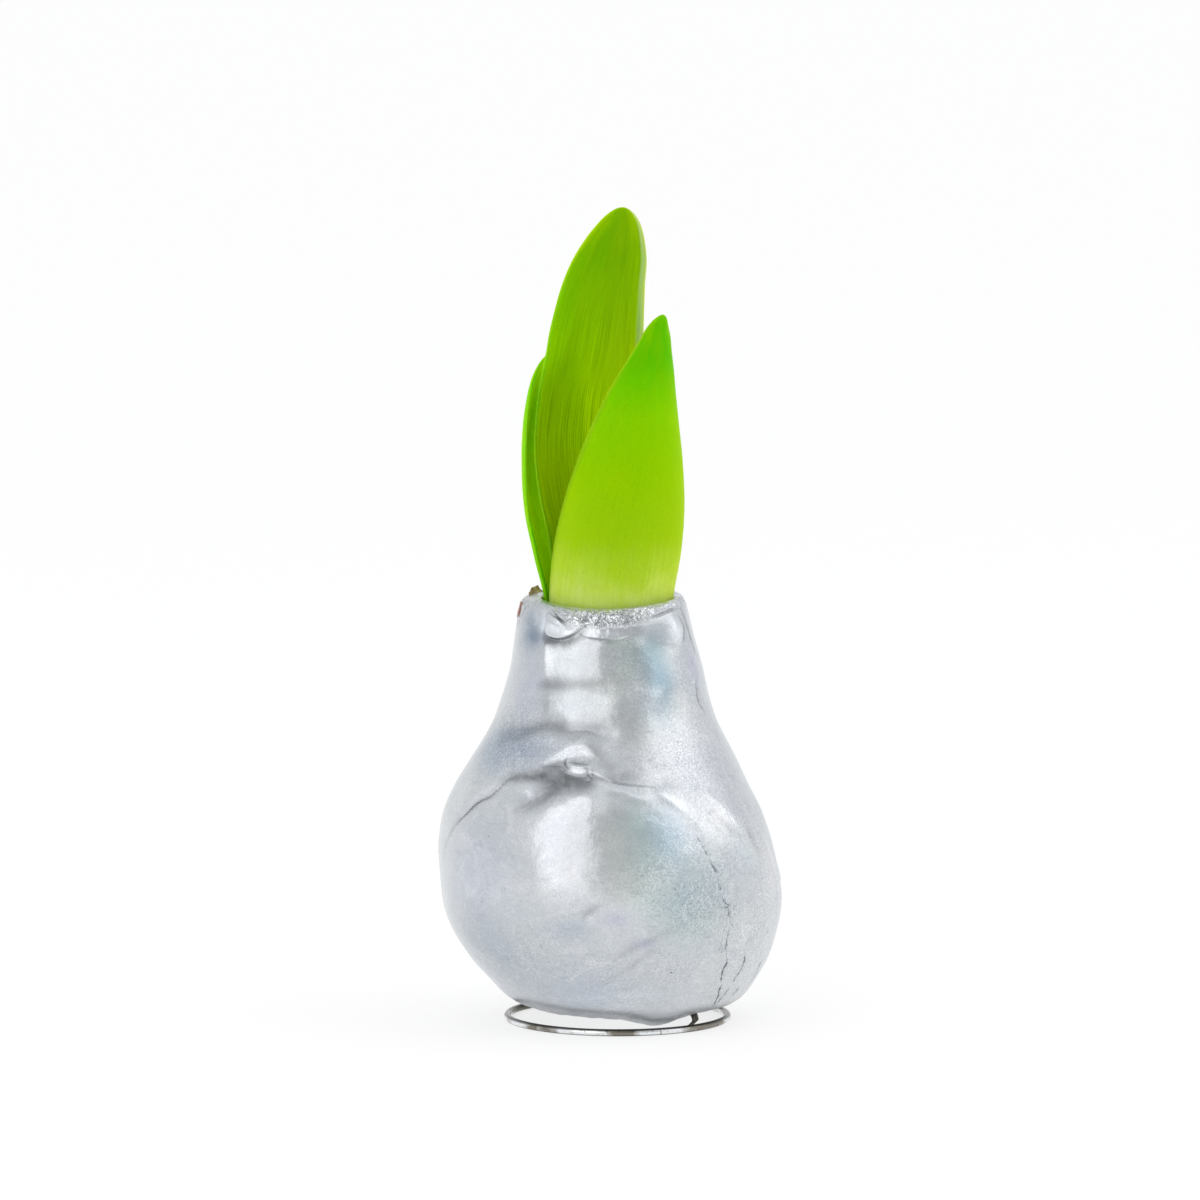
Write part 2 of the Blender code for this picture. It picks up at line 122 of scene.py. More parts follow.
# Soft valleys and ridges: rows of azimuth, height, how far out and half width
FOLDS = (
    # Between the two bright patches of the neck
    ((-142, 96.2, 0, 1.6), (-129, 96.6, -0.4, 1.8), (-118, 97, -0.42, 1.8), (-104, 97.2, -0.42, 2),
     (-90, 97, -0.5, 2.6), (-74, 96, 0, 2.8)),
    # The hollow that crosses the shoulder
    ((-162, 79, 0, 3), (-148, 81.6, -1.1, 3.2), (-136, 83.6, -1.3, 3), (-123, 86.2, -1.2, 2.4),
     (-110, 85.4, -0.7, 2.2), (-100, 85.6, -0.6, 2.2), (-90, 85, -0.3, 2.6), (-80, 84, 0, 2.6)),
    # The mound over the glossy bead, and the bead
    ((-125, 75, 0, 1.8), (-118, 77.2, 0.45, 2), (-112, 79, 0.65, 2.2), (-106, 80.4, 0.8, 2.3),
     (-100, 80.8, 0.7, 2.2), (-95, 79.2, 0.35, 2), (-91, 77, 0, 1.6)),
    ((-109, 76.3, 0, 0.7), (-106, 75.8, 0.55, 0.8), (-102, 75.2, 0.75, 0.9), (-98, 75.1, 0.6, 0.8),
     (-95.5, 75.6, 0, 0.7)),
    ((-97, 74.2, 0, 0.3), (-95.6, 73.4, -0.4, 0.35), (-95.4, 72.2, -0.4, 0.35), (-97.2, 71.6, 0, 0.3)),
    # The recess below them, running down to the left
    ((-128, 62, 0, 1.8), (-122, 64.2, -0.3, 2), (-116, 66.2, -0.42, 2.2), (-110, 69, -0.36, 2.2),
     (-104, 72, -0.36, 1.8), (-96, 72.2, -0.32, 1.6), (-88, 70.6, 0, 1.4)),
    ((-140, 70, 0, 1.5), (-133, 72.3, -0.4, 1.8), (-127, 73.4, -0.4, 1.7), (-120, 74.6, -0.2, 1.6),
     (-114, 75.4, 0, 1.4)),
    # The soft ridge that carries the overlap on to the right
    ((-91, 71, 0, 1.2), (-86, 69.8, 0.18, 1.4), (-81, 68.8, 0.2, 1.5), (-75, 67.2, 0.15, 1.6),
     (-69, 66.6, 0, 1.6)),
    ((-69, 69.4, 0, 1.4), (-64, 67.4, 0.3, 1.5), (-59, 65.2, 0.34, 1.8), (-54, 62.6, 0.22, 2.2),
     (-50, 59.4, 0.16, 2.4), (-47, 55.4, 0.18, 2.4), (-44, 52, 0, 2.2)),
    ((-47, 68.4, 0, 1.8), (-42, 65.4, 0.16, 2), (-37, 61.6, 0.2, 2.2), (-33, 57.6, 0.16, 2),
     (-31, 54, 0, 1.8)),
    ((-30, 60, 0, 1.1), (-28.5, 55.6, -0.3, 1.2), (-27, 51.6, -0.26, 1.2), (-25, 47, 0, 1.1)),
    ((-70, 72, 0, 1.6), (-65, 70.4, -0.14, 1.6), (-57, 68.6, -0.1, 1.8), (-48, 64, 0, 1.8)),
    # Fine creases of the crumpled skin that end on the lobe
    ((-134, 118.2, 0, 0.4), (-129, 117.2, -0.45, 0.4), (-122, 116.2, -0.5, 0.4), (-115, 114.8, -0.45, 0.4),
     (-109, 113.2, 0, 0.4)),
    ((-132, 115.8, 0, 0.4), (-127, 115, -0.35, 0.4), (-121, 114.2, -0.35, 0.4), (-115, 113.2, 0, 0.4)),
    ((-128, 119.4, 0, 0.4), (-124, 118, -0.35, 0.4), (-117, 116.6, -0.4, 0.4), (-110, 115.2, 0, 0.4)),
    ((-132, 118.8, 0, 0.35), (-126, 117.2, -0.4, 0.4), (-118, 114.8, -0.45, 0.4), (-112, 112.9, 0, 0.35)),
    ((-172, 118.6, 0, 0.6), (-160, 117.6, -0.45, 0.6), (-148, 117.8, -0.4, 0.6), (-138, 118.6, 0, 0.6)),
    ((-178, 112, 0, 0.5), (-174, 115, -0.4, 0.5), (-168, 117.4, -0.4, 0.5), (-160, 118.8, 0, 0.5)),
    # The right of the rim: a crease under the lumps, and creases that run down
    ((-58, 115.6, 0, 0.4), (-50, 116.2, -0.5, 0.45), (-40, 116.8, -0.6, 0.45), (-30, 117, -0.5, 0.45),
     (-18, 116.8, 0, 0.4)),
    ((-31, 116.4, 0, 0.4), (-27, 114.4, -0.45, 0.45), (-24, 111.4, -0.45, 0.45), (-27, 108.2, -0.4, 0.5),
     (-35, 106.8, 0, 0.5)),
    ((-23, 117.8, 0, 0.4), (-20, 115, -0.5, 0.45), (-17, 111, -0.5, 0.5), (-15, 106, -0.35, 0.5),
     (-13, 101.5, 0, 0.5)),
    ((-24, 98, 0, 0.4), (-26, 95, -0.35, 0.45), (-27, 90.6, -0.35, 0.45), (-24, 88.6, -0.3, 0.4),
     (-23, 86, 0, 0.35)),
    ((-33, 97, 0, 0.5), (-34, 92, -0.25, 0.6), (-31, 87, 0, 0.5)),
    ((-22, 78, 0, 1.6), (-24, 70, -0.3, 1.8), (-20, 60, -0.35, 1.8), (-14, 48, 0, 1.8)),
    # The back
    ((40, 100, 0, 2.5), (70, 96, -0.6, 2.5), (110, 99, -0.7, 2.8), (150, 95, 0, 2.5)),
    ((30, 80, 0, 3), (60, 77, 0.8, 2.6), (95, 80, 0.95, 2.8), (125, 76, 0, 2.6)),
    ((35, 84, 0, 2.4), (62, 82.6, -0.8, 2.2), (96, 85, -0.9, 2.4), (128, 81, 0, 2.4)),
    ((0, 26, 0, 2.6), (30, 20, -0.5, 2.6), (70, 24, -0.6, 2.8), (110, 18, 0, 2.6)),
    ((60, 113, 0, 0.4), (72, 112, -0.45, 0.5), (86, 113.4, -0.45, 0.5), (98, 112, 0, 0.4)),
)
# Bumps and dents: azimuth, height, how far out, half breadth and half height
LUMPS = (
    (-84, 104, -0.3, 4.5, 3.5), (-80, 92.5, 0.35, 5, 4), (-70, 99, -0.3, 4, 4), (-62, 93, 0.25, 4, 4),
    (-72, 108, 0.2, 3, 2.5), (-165, 117.6, 0.5, 2, 1.4), (-151, 118.4, 0.4, 1.6, 1),
    (-172, 113, 0.3, 1.5, 3), (-44, 66, 0.18, 3, 2.4), (-38, 59, -0.18, 3, 3), (-26, 64, 0.22, 3.4, 3.4),
    (-33, 47, 0.18, 3.4, 4),
    (-96.5, 69, 0.6, 6.5, 3), (-123, 69.2, 0.55, 2.6, 1.8), (-119, 112.6, 0.5, 4.6, 2.2),
    (-34, 111.2, 0.5, 3, 3.2),
    (-53, 107.6, -0.42, 3.6, 4.8), (-48, 117.8, 0.6, 1.7, 0.9), (-39, 118.2, 0.7, 1.6, 0.9),
    (-29, 118, 0.6, 1.4, 0.9), (-148, 108.5, -0.6, 4.2, 5), (-140, 116.4, 0.35, 2, 1.6),
    (-98, 36.6, -0.45, 2.2, 1.8), (-104, 33.5, -0.3, 3.6, 1.6), (-86, 34.6, -0.3, 3.4, 2.4),
    (-74, 88, 0.3, 5, 5), (-24, 102, 0.35, 3, 4), (-158, 70, 0.4, 5, 4),
    (-48, 77, 0.3, 6, 5), (-30, 66, 0.3, 6, 6),
    (-66, 26, 0.3, 8, 5), (-128, 20, 0.25, 7, 4), (75, 112, 0.7, 4, 2.6),
    (132, 109.5, 0.6, 3.4, 3), (28, 111.5, 0.5, 3, 2.6), (0, 60, 0.3, 6, 6),
    (90, 40, 0.4, 9, 8), (150, 40, 0.3, 6, 8), (176, 90, 0.4, 4, 5),
)
# Small pits where a bubble burst: azimuth and height
PITS = (
    (-134, 56), (-148, 41), (-144, 37.5), (-138, 38), (-137, 29), (-122, 25), (-133, 22),
    (-116, 26.5), (-128, 41.5), (-152, 46), (-84, 22), (-74, 24.5), (-70, 19), (-96, 16),
    (-48, 36), (-46, 33.5), (-45, 31.2), (-49, 31.8), (-47, 34.8), (-44, 35), (-50, 24.6), (-30, 30),
    (12, 44), (31, 60), (64, 36), (88, 70), (120, 47), (146, 30), (166, 62),
)
# Cracks in the wax: rows of azimuth, height and depth
CRACKS = (
    ((-55.5, 56.2, 0), (-55, 55.4, 0.12), (-54.4, 54.4, 0)),
    ((-54, 52.8, 0), (-53.4, 51.8, 0.14), (-52.8, 50.8, 0)),
    ((-52.4, 50, 0), (-51.8, 48.4, 0.17), (-51, 46.8, 0.16), (-50.6, 45.6, 0)),
    ((-54.6, 54.6, 0), (-54.2, 53.7, 0.08), (-53.8, 52.8, 0)),
    ((-51, 45.8, 0), (-50.6, 44.4, 0.09), (-50.3, 43, 0)),
    ((-46.8, 36.4, 0), (-46.4, 34, 0.11), (-46.6, 31, 0)),
    ((-47.2, 24.2, 0), (-46.4, 22.8, 0.1), (-45.8, 21.6, 0)),
    ((-50.4, 43.2, 0), (-50, 42.2, 0.22), (-49.8, 41.2, 0)),
    ((-50, 40.4, 0), (-49, 38.6, 0.2), (-47.6, 37.2, 0.24), (-45.8, 37.4, 0)),
    ((-46.5, 31, 0), (-46.8, 28.6, 0.16), (-47.2, 25.4, 0.16), (-47, 23.4, 0)),
    ((-45.6, 22, 0), (-45.2, 20.4, 0.3), (-46.4, 18.4, 0.3), (-46, 15.6, 0.26), (-45.2, 14.6, 0)),
    ((-44.4, 13.6, 0), (-44.4, 12.4, 0.34), (-43, 10, 0.34), (-42.2, 7.6, 0.24), (-41.6, 6.2, 0)),
    ((-36, 22.4, 0), (-35.2, 20.2, 0.34), (-35.2, 18.2, 0.1), (-35.6, 16.4, 0.3), (-36.8, 14.8, 0.3),
     (-37.6, 13.8, 0)),
    ((-38.6, 12.6, 0), (-38.4, 10.8, 0.24), (-39.6, 8.6, 0.22), (-40, 7.4, 0)),
    ((-29.6, 11.8, 0), (-30.4, 10.4, 0.26), (-32, 8.6, 0)),
    ((-19, 19, 0), (-17.5, 16, 0.34), (-17, 13, 0.3), (-18, 11, 0)),
    ((118, 34, 0), (121, 29, 0.22), (120, 25, 0)), ((120.6, 23, 0), (123, 17, 0.28), (121, 11, 0)),
)
# The lowest height of the crumpled skin round the rim, by azimuth
CRUMPLE_EDGE = (
    (-180, 117), (-150, 117.6), (-137, 117.8), (-124, 117), (-112, 115.2), (-103, 114.7), (-79, 114.8),
    (-60, 115.4), (-46, 117), (-30, 117.2), (0, 116.4), (60, 115), (120, 115.6), (180, 117),
)
# How strongly the painted shade and painted highlight along the edge of the upper layer are drawn, by azimuth
OVERLAP_LINE = (
    (-180, 0), (-160, 0.12), (-153, 0.35), (-149, 0.85), (-144, 1), (-139, 0.7), (-134, 0.55), (-129, 0),
    (-109, 0), (-105, 0.2), (-97, 0.3), (-92, 0.5), (-86, 0.32), (-80, 0.1), (-74, 0), (-15, 0),
    (12, 0.55), (60, 0.4), (98, 0.65), (138, 0.45), (172, 0.1), (180, 0),
)
# Where the grain of the silver is coarser: azimuth, height, half breadth, half height, share
GRAINY = (
    (-50, 77, 14, 10, 0.75), (-143, 80, 14, 9, 0.85), (-61, 44, 12, 10, 0.45), (-76, 100, 8, 10, 0.25),
    (-40, 96, 8, 12, 0.3), (-20, 40, 16, 30, 0.62), (-110, 79, 8, 4, 0.35), (-50, 60, 10, 10, 0.35),
    (-95, 18, 60, 16, 0.28), (60, 80, 30, 20, 0.5), (130, 50, 30, 20, 0.4),
)
# Painted shade and painted highlights along lines, and a few real scuffs: rows of azimuth, height, share and
# half width
PAINTED_SHADE_LIGHT_AND_SCUFFS = (
    # Between the bright patches of the neck, and across the shoulder
    ((-136, 96.4, 0, 1.6), (-128, 96.7, -0.4, 1.9), (-115, 97, -0.4, 1.8), (-100, 97.2, -0.4, 2),
     (-91, 97.4, -0.3, 2.6), (-78, 96.4, 0, 2.6)),
    # The soft left edge of the lower bright patch
    ((-127, 95, 0, 1.8), (-125.5, 92.6, -0.16, 2), (-124.5, 89, -0.16, 2), (-122, 86, 0, 1.8)),
    ((-158, 80, 0, 3.2), (-150, 82, -0.24, 3), (-138, 83.6, -0.38, 2.6), (-123, 86, -0.4, 2),
     (-110, 85.4, -0.3, 1.8), (-98, 85.6, -0.26, 1.8), (-86, 85, 0, 2.2)),
    ((-112, 83.4, 0, 1), (-106, 82.4, -0.16, 1), (-101, 83.6, -0.1, 1), (-97, 85, 0, 1)),
    # Over the crease at the left, the dark recess, and its tail
    ((-137, 70, 0, 1.2), (-132, 71.4, -0.46, 1.4), (-127, 72.1, -0.56, 1.7), (-122, 72.5, -0.52, 1.7),
     (-117, 73.2, -0.26, 1.4), (-112, 74, 0, 1)),
    ((-123, 72.6, 0, 1.6), (-118, 72.6, -0.44, 2.1), (-111, 71.9, -0.6, 2.9), (-102, 71, -0.6, 3),
     (-96, 70.8, -0.54, 2.4), (-91, 70.6, 0, 1.4)),
    ((-126, 62.8, 0, 1.6), (-121, 64.4, -0.28, 2), (-116, 66.2, -0.4, 2.3), (-111, 68.2, -0.46, 2.5),
     (-106, 69.4, -0.16, 2.2)),
    # The crease itself, and the pale lip over it
    ((-149.5, 59.4, 0, 0.5), (-147, 61.4, -0.18, 0.5), (-143, 64.4, -0.22, 0.5), (-139, 65.8, -0.2, 0.6),
     (-136, 68, -0.22, 0.7), (-133, 71, 0, 0.7)),
    ((-150, 62.4, 0, 0.8), (-145, 66, 0.12, 0.8), (-140, 68.2, 0.14, 0.8), (-136.6, 70.8, 0, 0.7)),
    ((-167, 47, 0, 0.5), (-158, 54.5, -0.14, 0.5), (-152, 58.6, -0.16, 0.5), (-149, 60.6, 0, 0.5)),
    ((-121, 74.8, 0, 0.8), (-116, 75.5, -0.28, 0.9), (-111, 76.1, -0.32, 1), (-108.4, 76, -0.2, 0.7),
     (-107, 75.2, 0, 0.6)),
    # Round the glossy bead
    ((-107, 78, 0, 0.3), (-108, 76.8, -0.5, 0.34), (-107.2, 75.4, -0.6, 0.36),
     (-105.2, 74.6, -0.3, 0.34), (-103.4, 74.2, 0, 0.3)),
    ((-106, 74.8, 0, 0.4), (-103, 74.1, 0.3, 0.4), (-99.6, 73.9, 0.4, 0.4), (-97, 74.3, 0.36, 0.4),
     (-95.6, 75.4, 0, 0.4)),
    ((-107, 77, 0, 0.8), (-103, 76.2, -0.24, 0.8), (-98, 76.4, -0.22, 0.8), (-94, 77, 0, 0.8)),
    ((-96.8, 73.2, 0, 0.3), (-95.4, 73, -0.5, 0.34), (-94, 72.2, -0.3, 0.4), (-92, 72, 0, 0.4)),
    ((-94.6, 75.2, 0, 0.4), (-94.6, 73.6, -0.46, 0.36), (-91.5, 72.6, -0.46, 0.5), (-87, 72.2, -0.34, 0.8),
     (-80, 71.8, -0.1, 1.2), (-74, 71.8, 0, 1.2)),
    ((-92, 71.4, 0, 0.7), (-87, 69.9, 0.14, 0.8), (-80, 68.6, 0.14, 1), (-73, 67.4, 0, 1)),
    # Creases of the lobe, and the second band's edge
    ((-134, 118, 0, 0.3), (-128, 117, -0.45, 0.34), (-121, 115.9, -0.45, 0.34), (-114, 114.4, 0, 0.3)),
    ((-131, 115.4, 0, 0.3), (-126, 114.6, -0.26, 0.3), (-121, 114, -0.22, 0.3), (-116, 113.4, 0, 0.3)),
    ((-132, 118.8, 0, 0.4), (-126, 117.4, -0.42, 0.5), (-118, 115, -0.46, 0.5), (-112, 113, 0, 0.4)),
    ((-123, 119.2, 0, 0.4), (-115, 117.6, -0.4, 0.45), (-107, 115.6, 0, 0.4)),
    ((-130, 117.8, 0, 0.3), (-125, 116.4, 0.34, 0.35), (-119, 114.2, 0.3, 0.35), (-115, 113, 0, 0.3)),
    ((-180, 113, 0, 0.4), (-174, 115.4, -0.34, 0.5), (-167, 117.8, -0.34, 0.5), (-160, 118.8, 0, 0.4)),
    ((-170, 111, 0, 0.4), (-165, 113.6, -0.22, 0.45), (-160, 116.6, -0.26, 0.45), (-155, 118.6, 0, 0.4)),
    ((-101, 110.9, 0, 0.3), (-96, 110.5, -0.3, 0.34), (-86, 110.4, -0.26, 0.34), (-80, 110.6, 0, 0.3)),
    ((-92, 109.4, 0, 0.8), (-87, 109.2, -0.12, 1), (-82, 109.4, 0, 0.8)),
    # To the right of the mound
    ((-102, 83, 0, 1.2), (-97, 80.6, -0.24, 1.6), (-91, 76.8, -0.24, 1.9), (-84, 74, -0.26, 2),
     (-76, 72.8, -0.18, 1.8), (-69, 71.8, 0, 1.4)),
    # A painted shadow under the large bright patch
    ((-100.5, 34.6, 0, 0.9), (-98, 36.4, -0.26, 1), (-95.4, 38.2, -0.22, 0.9), (-93, 40, 0, 0.8)),
    # Painted highlight along the mound and along the ridge to the right
    ((-121, 76.4, 0, 1.6), (-114, 78.6, 0.06, 2), (-106, 80.6, 0.1, 2.2), (-98, 80.8, 0.1, 2),
     (-94, 79.4, 0, 1.4)),
    ((-68, 68.6, 0, 0.9), (-64, 66.9, 0.32, 1.1), (-60, 65.3, 0.36, 1.3), (-56, 63.4, 0.14, 1.6),
     (-50, 59, 0.06, 2.2), (-45, 54.4, 0.06, 2.4), (-40, 50.6, 0, 2)),
    ((-47, 68, 0, 1.4), (-42, 65, 0.14, 1.6), (-37, 61.4, 0.16, 1.8), (-33, 57.4, 0.12, 1.8),
     (-30, 54, 0, 1.6)),
    ((-29.6, 59, 0, 1), (-28.4, 55.6, -0.2, 1.2), (-27, 52, -0.18, 1.2), (-25, 47, 0, 1.1)),
    ((-22, 60, 0, 0.7), (-18, 50, -0.1, 0.7), (-15, 40, -0.1, 0.7), (-14, 32, 0, 0.7)),
    ((-19, 60, 0, 0.9), (-15, 50, 0.12, 0.9), (-12, 40, 0.12, 0.9), (-11, 32, 0, 0.9)),
    # Scuffs that slant across the lower front
    ((-64, 34, 0, 1), (-74, 30, -0.12, 1), (-84, 26.6, -0.1, 1), (-90, 24, 0, 1)),
    ((-92, 22.4, 0, 0.4), (-87, 24.8, -0.13, 0.5), (-80, 27.4, -0.06, 0.6), (-76, 28.4, 0, 0.4)),
    ((-89, 19, 0, 0.4), (-84, 21.8, -0.15, 0.45), (-78, 25, -0.09, 0.6), (-72, 27.4, 0, 0.4)),
    ((-96, 16, 0, 0.4), (-91, 18.6, -0.12, 0.5), (-86, 21.4, -0.06, 0.5), (-83, 22.6, 0, 0.4)),
    ((-84, 17, 0, 0.4), (-78, 20, -0.12, 0.5), (-72, 22, 0, 0.4)),
    # The right of the rim and the neck below it
    ((-58, 115.8, 0, 0.3), (-50, 116.2, -0.4, 0.36), (-40, 116.8, -0.5, 0.36), (-30, 117, -0.4, 0.36),
     (-18, 116.8, 0, 0.3)),
    ((-30, 115.6, 0, 0.5), (-26, 113.4, -0.36, 0.6), (-24.5, 110.8, -0.4, 0.7), (-28, 108.2, -0.34, 0.8),
     (-35, 107.4, 0, 0.7)),
    ((-22, 117.6, 0, 0.4), (-20, 115, -0.4, 0.45), (-17, 111, -0.4, 0.5), (-15, 106, -0.36, 0.5),
     (-13, 101.5, 0, 0.5)),
    ((-24, 98, 0, 0.4), (-26, 95, -0.3, 0.5), (-27, 90.6, -0.3, 0.6), (-24, 88.6, -0.24, 0.5),
     (-23, 86, 0, 0.4)),
)
# Painted shade as above, and painted highlight at the upper bright patch's left edge, but only on the
# right-hand side of the line, so below one that runs to the right
PAINTED_EDGE_SHADES = (
    # Under the lobe, and down its left side
    ((-131.6, 117, -0.2, 0.6), (-132, 114.6, -0.1, 0.5), (-131.9, 112.2, -0.34, 1.2),
     (-129.6, 110.5, -0.58, 2.6),
     (-124, 109.9, -0.62, 3.1), (-118, 110, -0.62, 3.2), (-112, 111.3, -0.6, 3), (-107, 113.2, -0.54, 2.5),
     (-102.4, 115, -0.28, 1.6)),
    # The left edge of the upper bright patch
    ((-127, 97, 0, 3), (-128.8, 99, 0.1, 3), (-129.6, 103, 0.12, 3), (-130, 106.4, 0.1, 3),
     (-129.8, 108.2, 0, 3)),
    # Under the second band of the rim
    ((-101, 111.4, -0.1, 0.8), (-96, 110.6, -0.22, 1), (-88, 110.3, -0.26, 1.4), (-80, 110.6, -0.12, 1.4)),
    # Over the dark recess
    ((-120, 75.6, 0, 1.2), (-114, 75.6, -0.26, 1.8), (-109, 75.5, -0.36, 2), (-105.6, 74, -0.3, 2),
     (-101, 73.3, -0.24, 2), (-96.4, 73.6, -0.2, 1.6), (-94.6, 73, 0, 1)),
    # Under the crease that runs on to the right
    ((-66, 66.6, 0, 1.4), (-61, 64.6, -0.1, 1.6), (-56, 61.6, -0.1, 1.8), (-52.6, 57.6, -0.1, 1.8),
     (-51, 54, 0, 1.6)),
)
# Places where the sheen is tinted, or darkened and lightened as painted shade and painted highlights:
# azimuth, height, half breadth, half height, share of each colour
TINTS_AND_PAINTED_LIGHT = (
    (-148, 112, 5.2, 6.8, (-0.42, -0.36, -0.29)), (-141.5, 109.4, 3.6, 2.6, (-0.34, -0.31, -0.26)),
    (-134.6, 113.4, 0.9, 3.4, (0.26, 0.28, 0.32)), (-176, 115.6, 3.4, 3.2, (-0.38, -0.47, -0.52)),
    (-141, 95, 6, 9, (-0.1, -0.1, -0.03)), (-148, 78, 12, 7, (-0.38, -0.32, -0.23)),
    (-128, 79, 6, 3.6, (-0.18, -0.16, -0.11)), (-112, 84.5, 6, 2.4, (-0.14, -0.14, -0.14)),
    (-76, 104, 4, 4.5, (-0.07, 0, -0.04)), (-57, 107.2, 5.8, 5.8, (-0.4, -0.32, -0.31)),
    (-62, 103, 4.4, 6, (-0.14, -0.07, -0.04)),
    (-56, 98, 5, 5, (-0.22, -0.14, -0.1)), (-60, 90, 6.5, 6, (-0.14, -0.07, -0.03)),
    (-112, 103, 8, 5, (-0.11, -0.08, -0.08)), (-108, 92, 8, 4, (-0.13, -0.1, -0.1)),
    (-88, 92, 5, 10, (0.03, 0.04, 0.02)), (-20, 92, 8, 14, (-0.03, -0.02, 0)),
    (-24, 101, 4, 5, (-0.04, -0.07, 0)),
    (-86, 55, 4.5, 12, (0.14, 0.14, 0.08)), (-78, 49, 5, 12, (0, 0.07, 0.03)),
    (-76, 61, 4.5, 5.5, (-0.04, 0.07, 0.04)), (-67, 58, 5.5, 7, (-0.12, -0.01, 0.06)),
    (-62, 44, 11, 9, (0.02, 0.1, 0.09)), (-62, 31.5, 8, 6, (-0.06, -0.01, -0.02)),
    (-88, 35, 4.5, 2.8, (-0.1, -0.12, -0.03)),
    (-80, 28, 3.6, 1.8, (-0.1, -0.12, -0.04)), (-104, 32, 8, 3.2, (-0.14, -0.12, -0.08)),
    (-100, 12, 20, 6, (-0.04, -0.02, 0.02)), (-140, 45, 12, 12, (-0.04, -0.04, 0.02)),
    (-138, 22, 18, 13, (-0.26, -0.23, -0.19)), (-84, 18, 20, 9, (-0.06, -0.06, -0.05)),
    (-122, 69, 2.2, 1.5, (0.14, 0.14, 0.14)), (-36, 110.6, 2.8, 3.6, (0.44, 0.44, 0.44)),
    (-121, 113.2, 5, 2.2, (0.46, 0.46, 0.48)), (-90, 112.6, 5, 1.2, (0.14, 0.14, 0.14)),
    (-34, 118.2, 4, 1.2, (0.24, 0.24, 0.24)),
    # Just under the dark recess, beside the patches of the neck, and round the ridge on the right
    (-90.4, 66, 2.2, 2.8, (0.46, 0.45, 0.43)), (-92, 84.8, 4.5, 4, (-0.28, -0.27, -0.25)),
    (-80, 101, 4, 4.5, (0.1, 0.12, 0.07)), (-79, 109.2, 4, 1.8, (0.13, 0.18, 0.09)),
    (-56, 96.6, 4.6, 4.4, (-0.22, -0.18, -0.16)), (-20, 45, 8, 16, (0.09, 0.07, 0.07)),
    (-43, 92, 3.6, 4.6, (0.14, 0.12, 0.1)),
    (-64, 70, 3.4, 1.5, (-0.24, -0.23, -0.22)), (-41, 60.5, 4, 4, (0.17, 0.14, 0.12)),
    (-35, 50, 4, 6, (0.1, 0.13, 0.12)),
    (-70, 53, 8, 4.5, (0.09, 0.15, 0.15)), (-68, 38, 8, 5, (-0.16, -0.11, -0.1)),
    (-40, 74, 12, 10, (0.02, 0, 0.03)), (-52, 69, 4, 2.4, (-0.1, -0.09, -0.08)),
    (95, 50, 20, 18, (-0.1, -0.04, 0)), (140, 92, 9, 12, (-0.12, -0.1, -0.02)),
    (60, 84, 10, 6, (-0.2, -0.17, -0.1)), (20, 100, 8, 8, (-0.14, -0.08, -0.02)),
)

# Leaves by height: middle x and y, radius, azimuth of the midrib, half angle, thickness
FRONT_LEAF = (
    (102, -0.6, 0, 16.4, -60, 106, 2.2),
    (118, -0.2, 0, 16.8, -60, 108, 2.2),
    (133, 1.5, 0, 17.5, -60, 106, 2.1),
    (145, 2.8, -0.3, 17, -58, 100, 2),
    (156, 3.5, -0.8, 15.9, -54, 91, 1.9),
    (166, 4.2, -1.4, 14.2, -50, 84, 1.8),
    (176, 5.5, -2.2, 12, -47, 76, 1.6),
    (181.6, 6.4, -2.6, 10.7, -46, 67, 1.5),
    (186.5, 7.3, -3, 9.3, -45.5, 57, 1.4),
    (191.4, 8.2, -3.4, 8.1, -45, 44, 1.3),
    (194.2, 8.8, -3.7, 7.2, -46, 35, 1.2),
    (196.2, 9.2, -3.9, 6.6, -42, 27, 1.1),
    (197.8, 9.5, -4, 6.2, -38, 20, 1),
)
TALL_LEAF = (
    (102, -0.8, 0, 13.7, 110, 68, 2),
    (118, -0.8, 0, 13.8, 110, 68, 2),
    (134, -1.6, 0, 15.2, 110, 68, 1.9),
    (146, -2.2, -0.8, 17, 112, 68, 1.8),
    (160, -2.9, -1.6, 18.2, 112, 64, 1.7),
    (172, -2.9, -2.4, 17.8, 109, 60, 1.6),
    (186, -2.2, -3.4, 16.5, 102.5, 56.5, 1.5),
    (192, -2.1, -3.8, 16.3, 99.5, 54.2, 1.45),
    (198.5, -1.8, -4.1, 16.05, 96, 51, 1.4),
    (205, -1.2, -4.5, 15.8, 93.2, 46.8, 1.35),
    (212, 0.2, -4.7, 15.4, 91.4, 41.6, 1.3),
    (218.4, 2.1, -4.8, 15, 92.6, 32, 1.2),
    (221.8, 3, -4.9, 14.8, 92.4, 24.6, 1.1),
    (226.4, 4.2, -5, 14.6, 93, 17, 1),
)
LEFT_LEAF = (
    (102, -0.8, 0, 17, 136, 46, 1.9),
    (118, -0.8, 0, 17, 136, 46, 1.9),
    (130, -2.2, 0.3, 18.4, 138, 46, 1.9),
    (142, -3.4, 0.6, 19.6, 142, 46, 1.8),
    (156, -4, 0.8, 19.9, 146, 45, 1.7),
    (168, -4, 0.8, 19.6, 147, 42, 1.6),
    (178, -3.4, 1, 18.5, 145, 36, 1.3),
    (185.5, -2.4, 1.4, 17.4, 141, 28, 1),
)
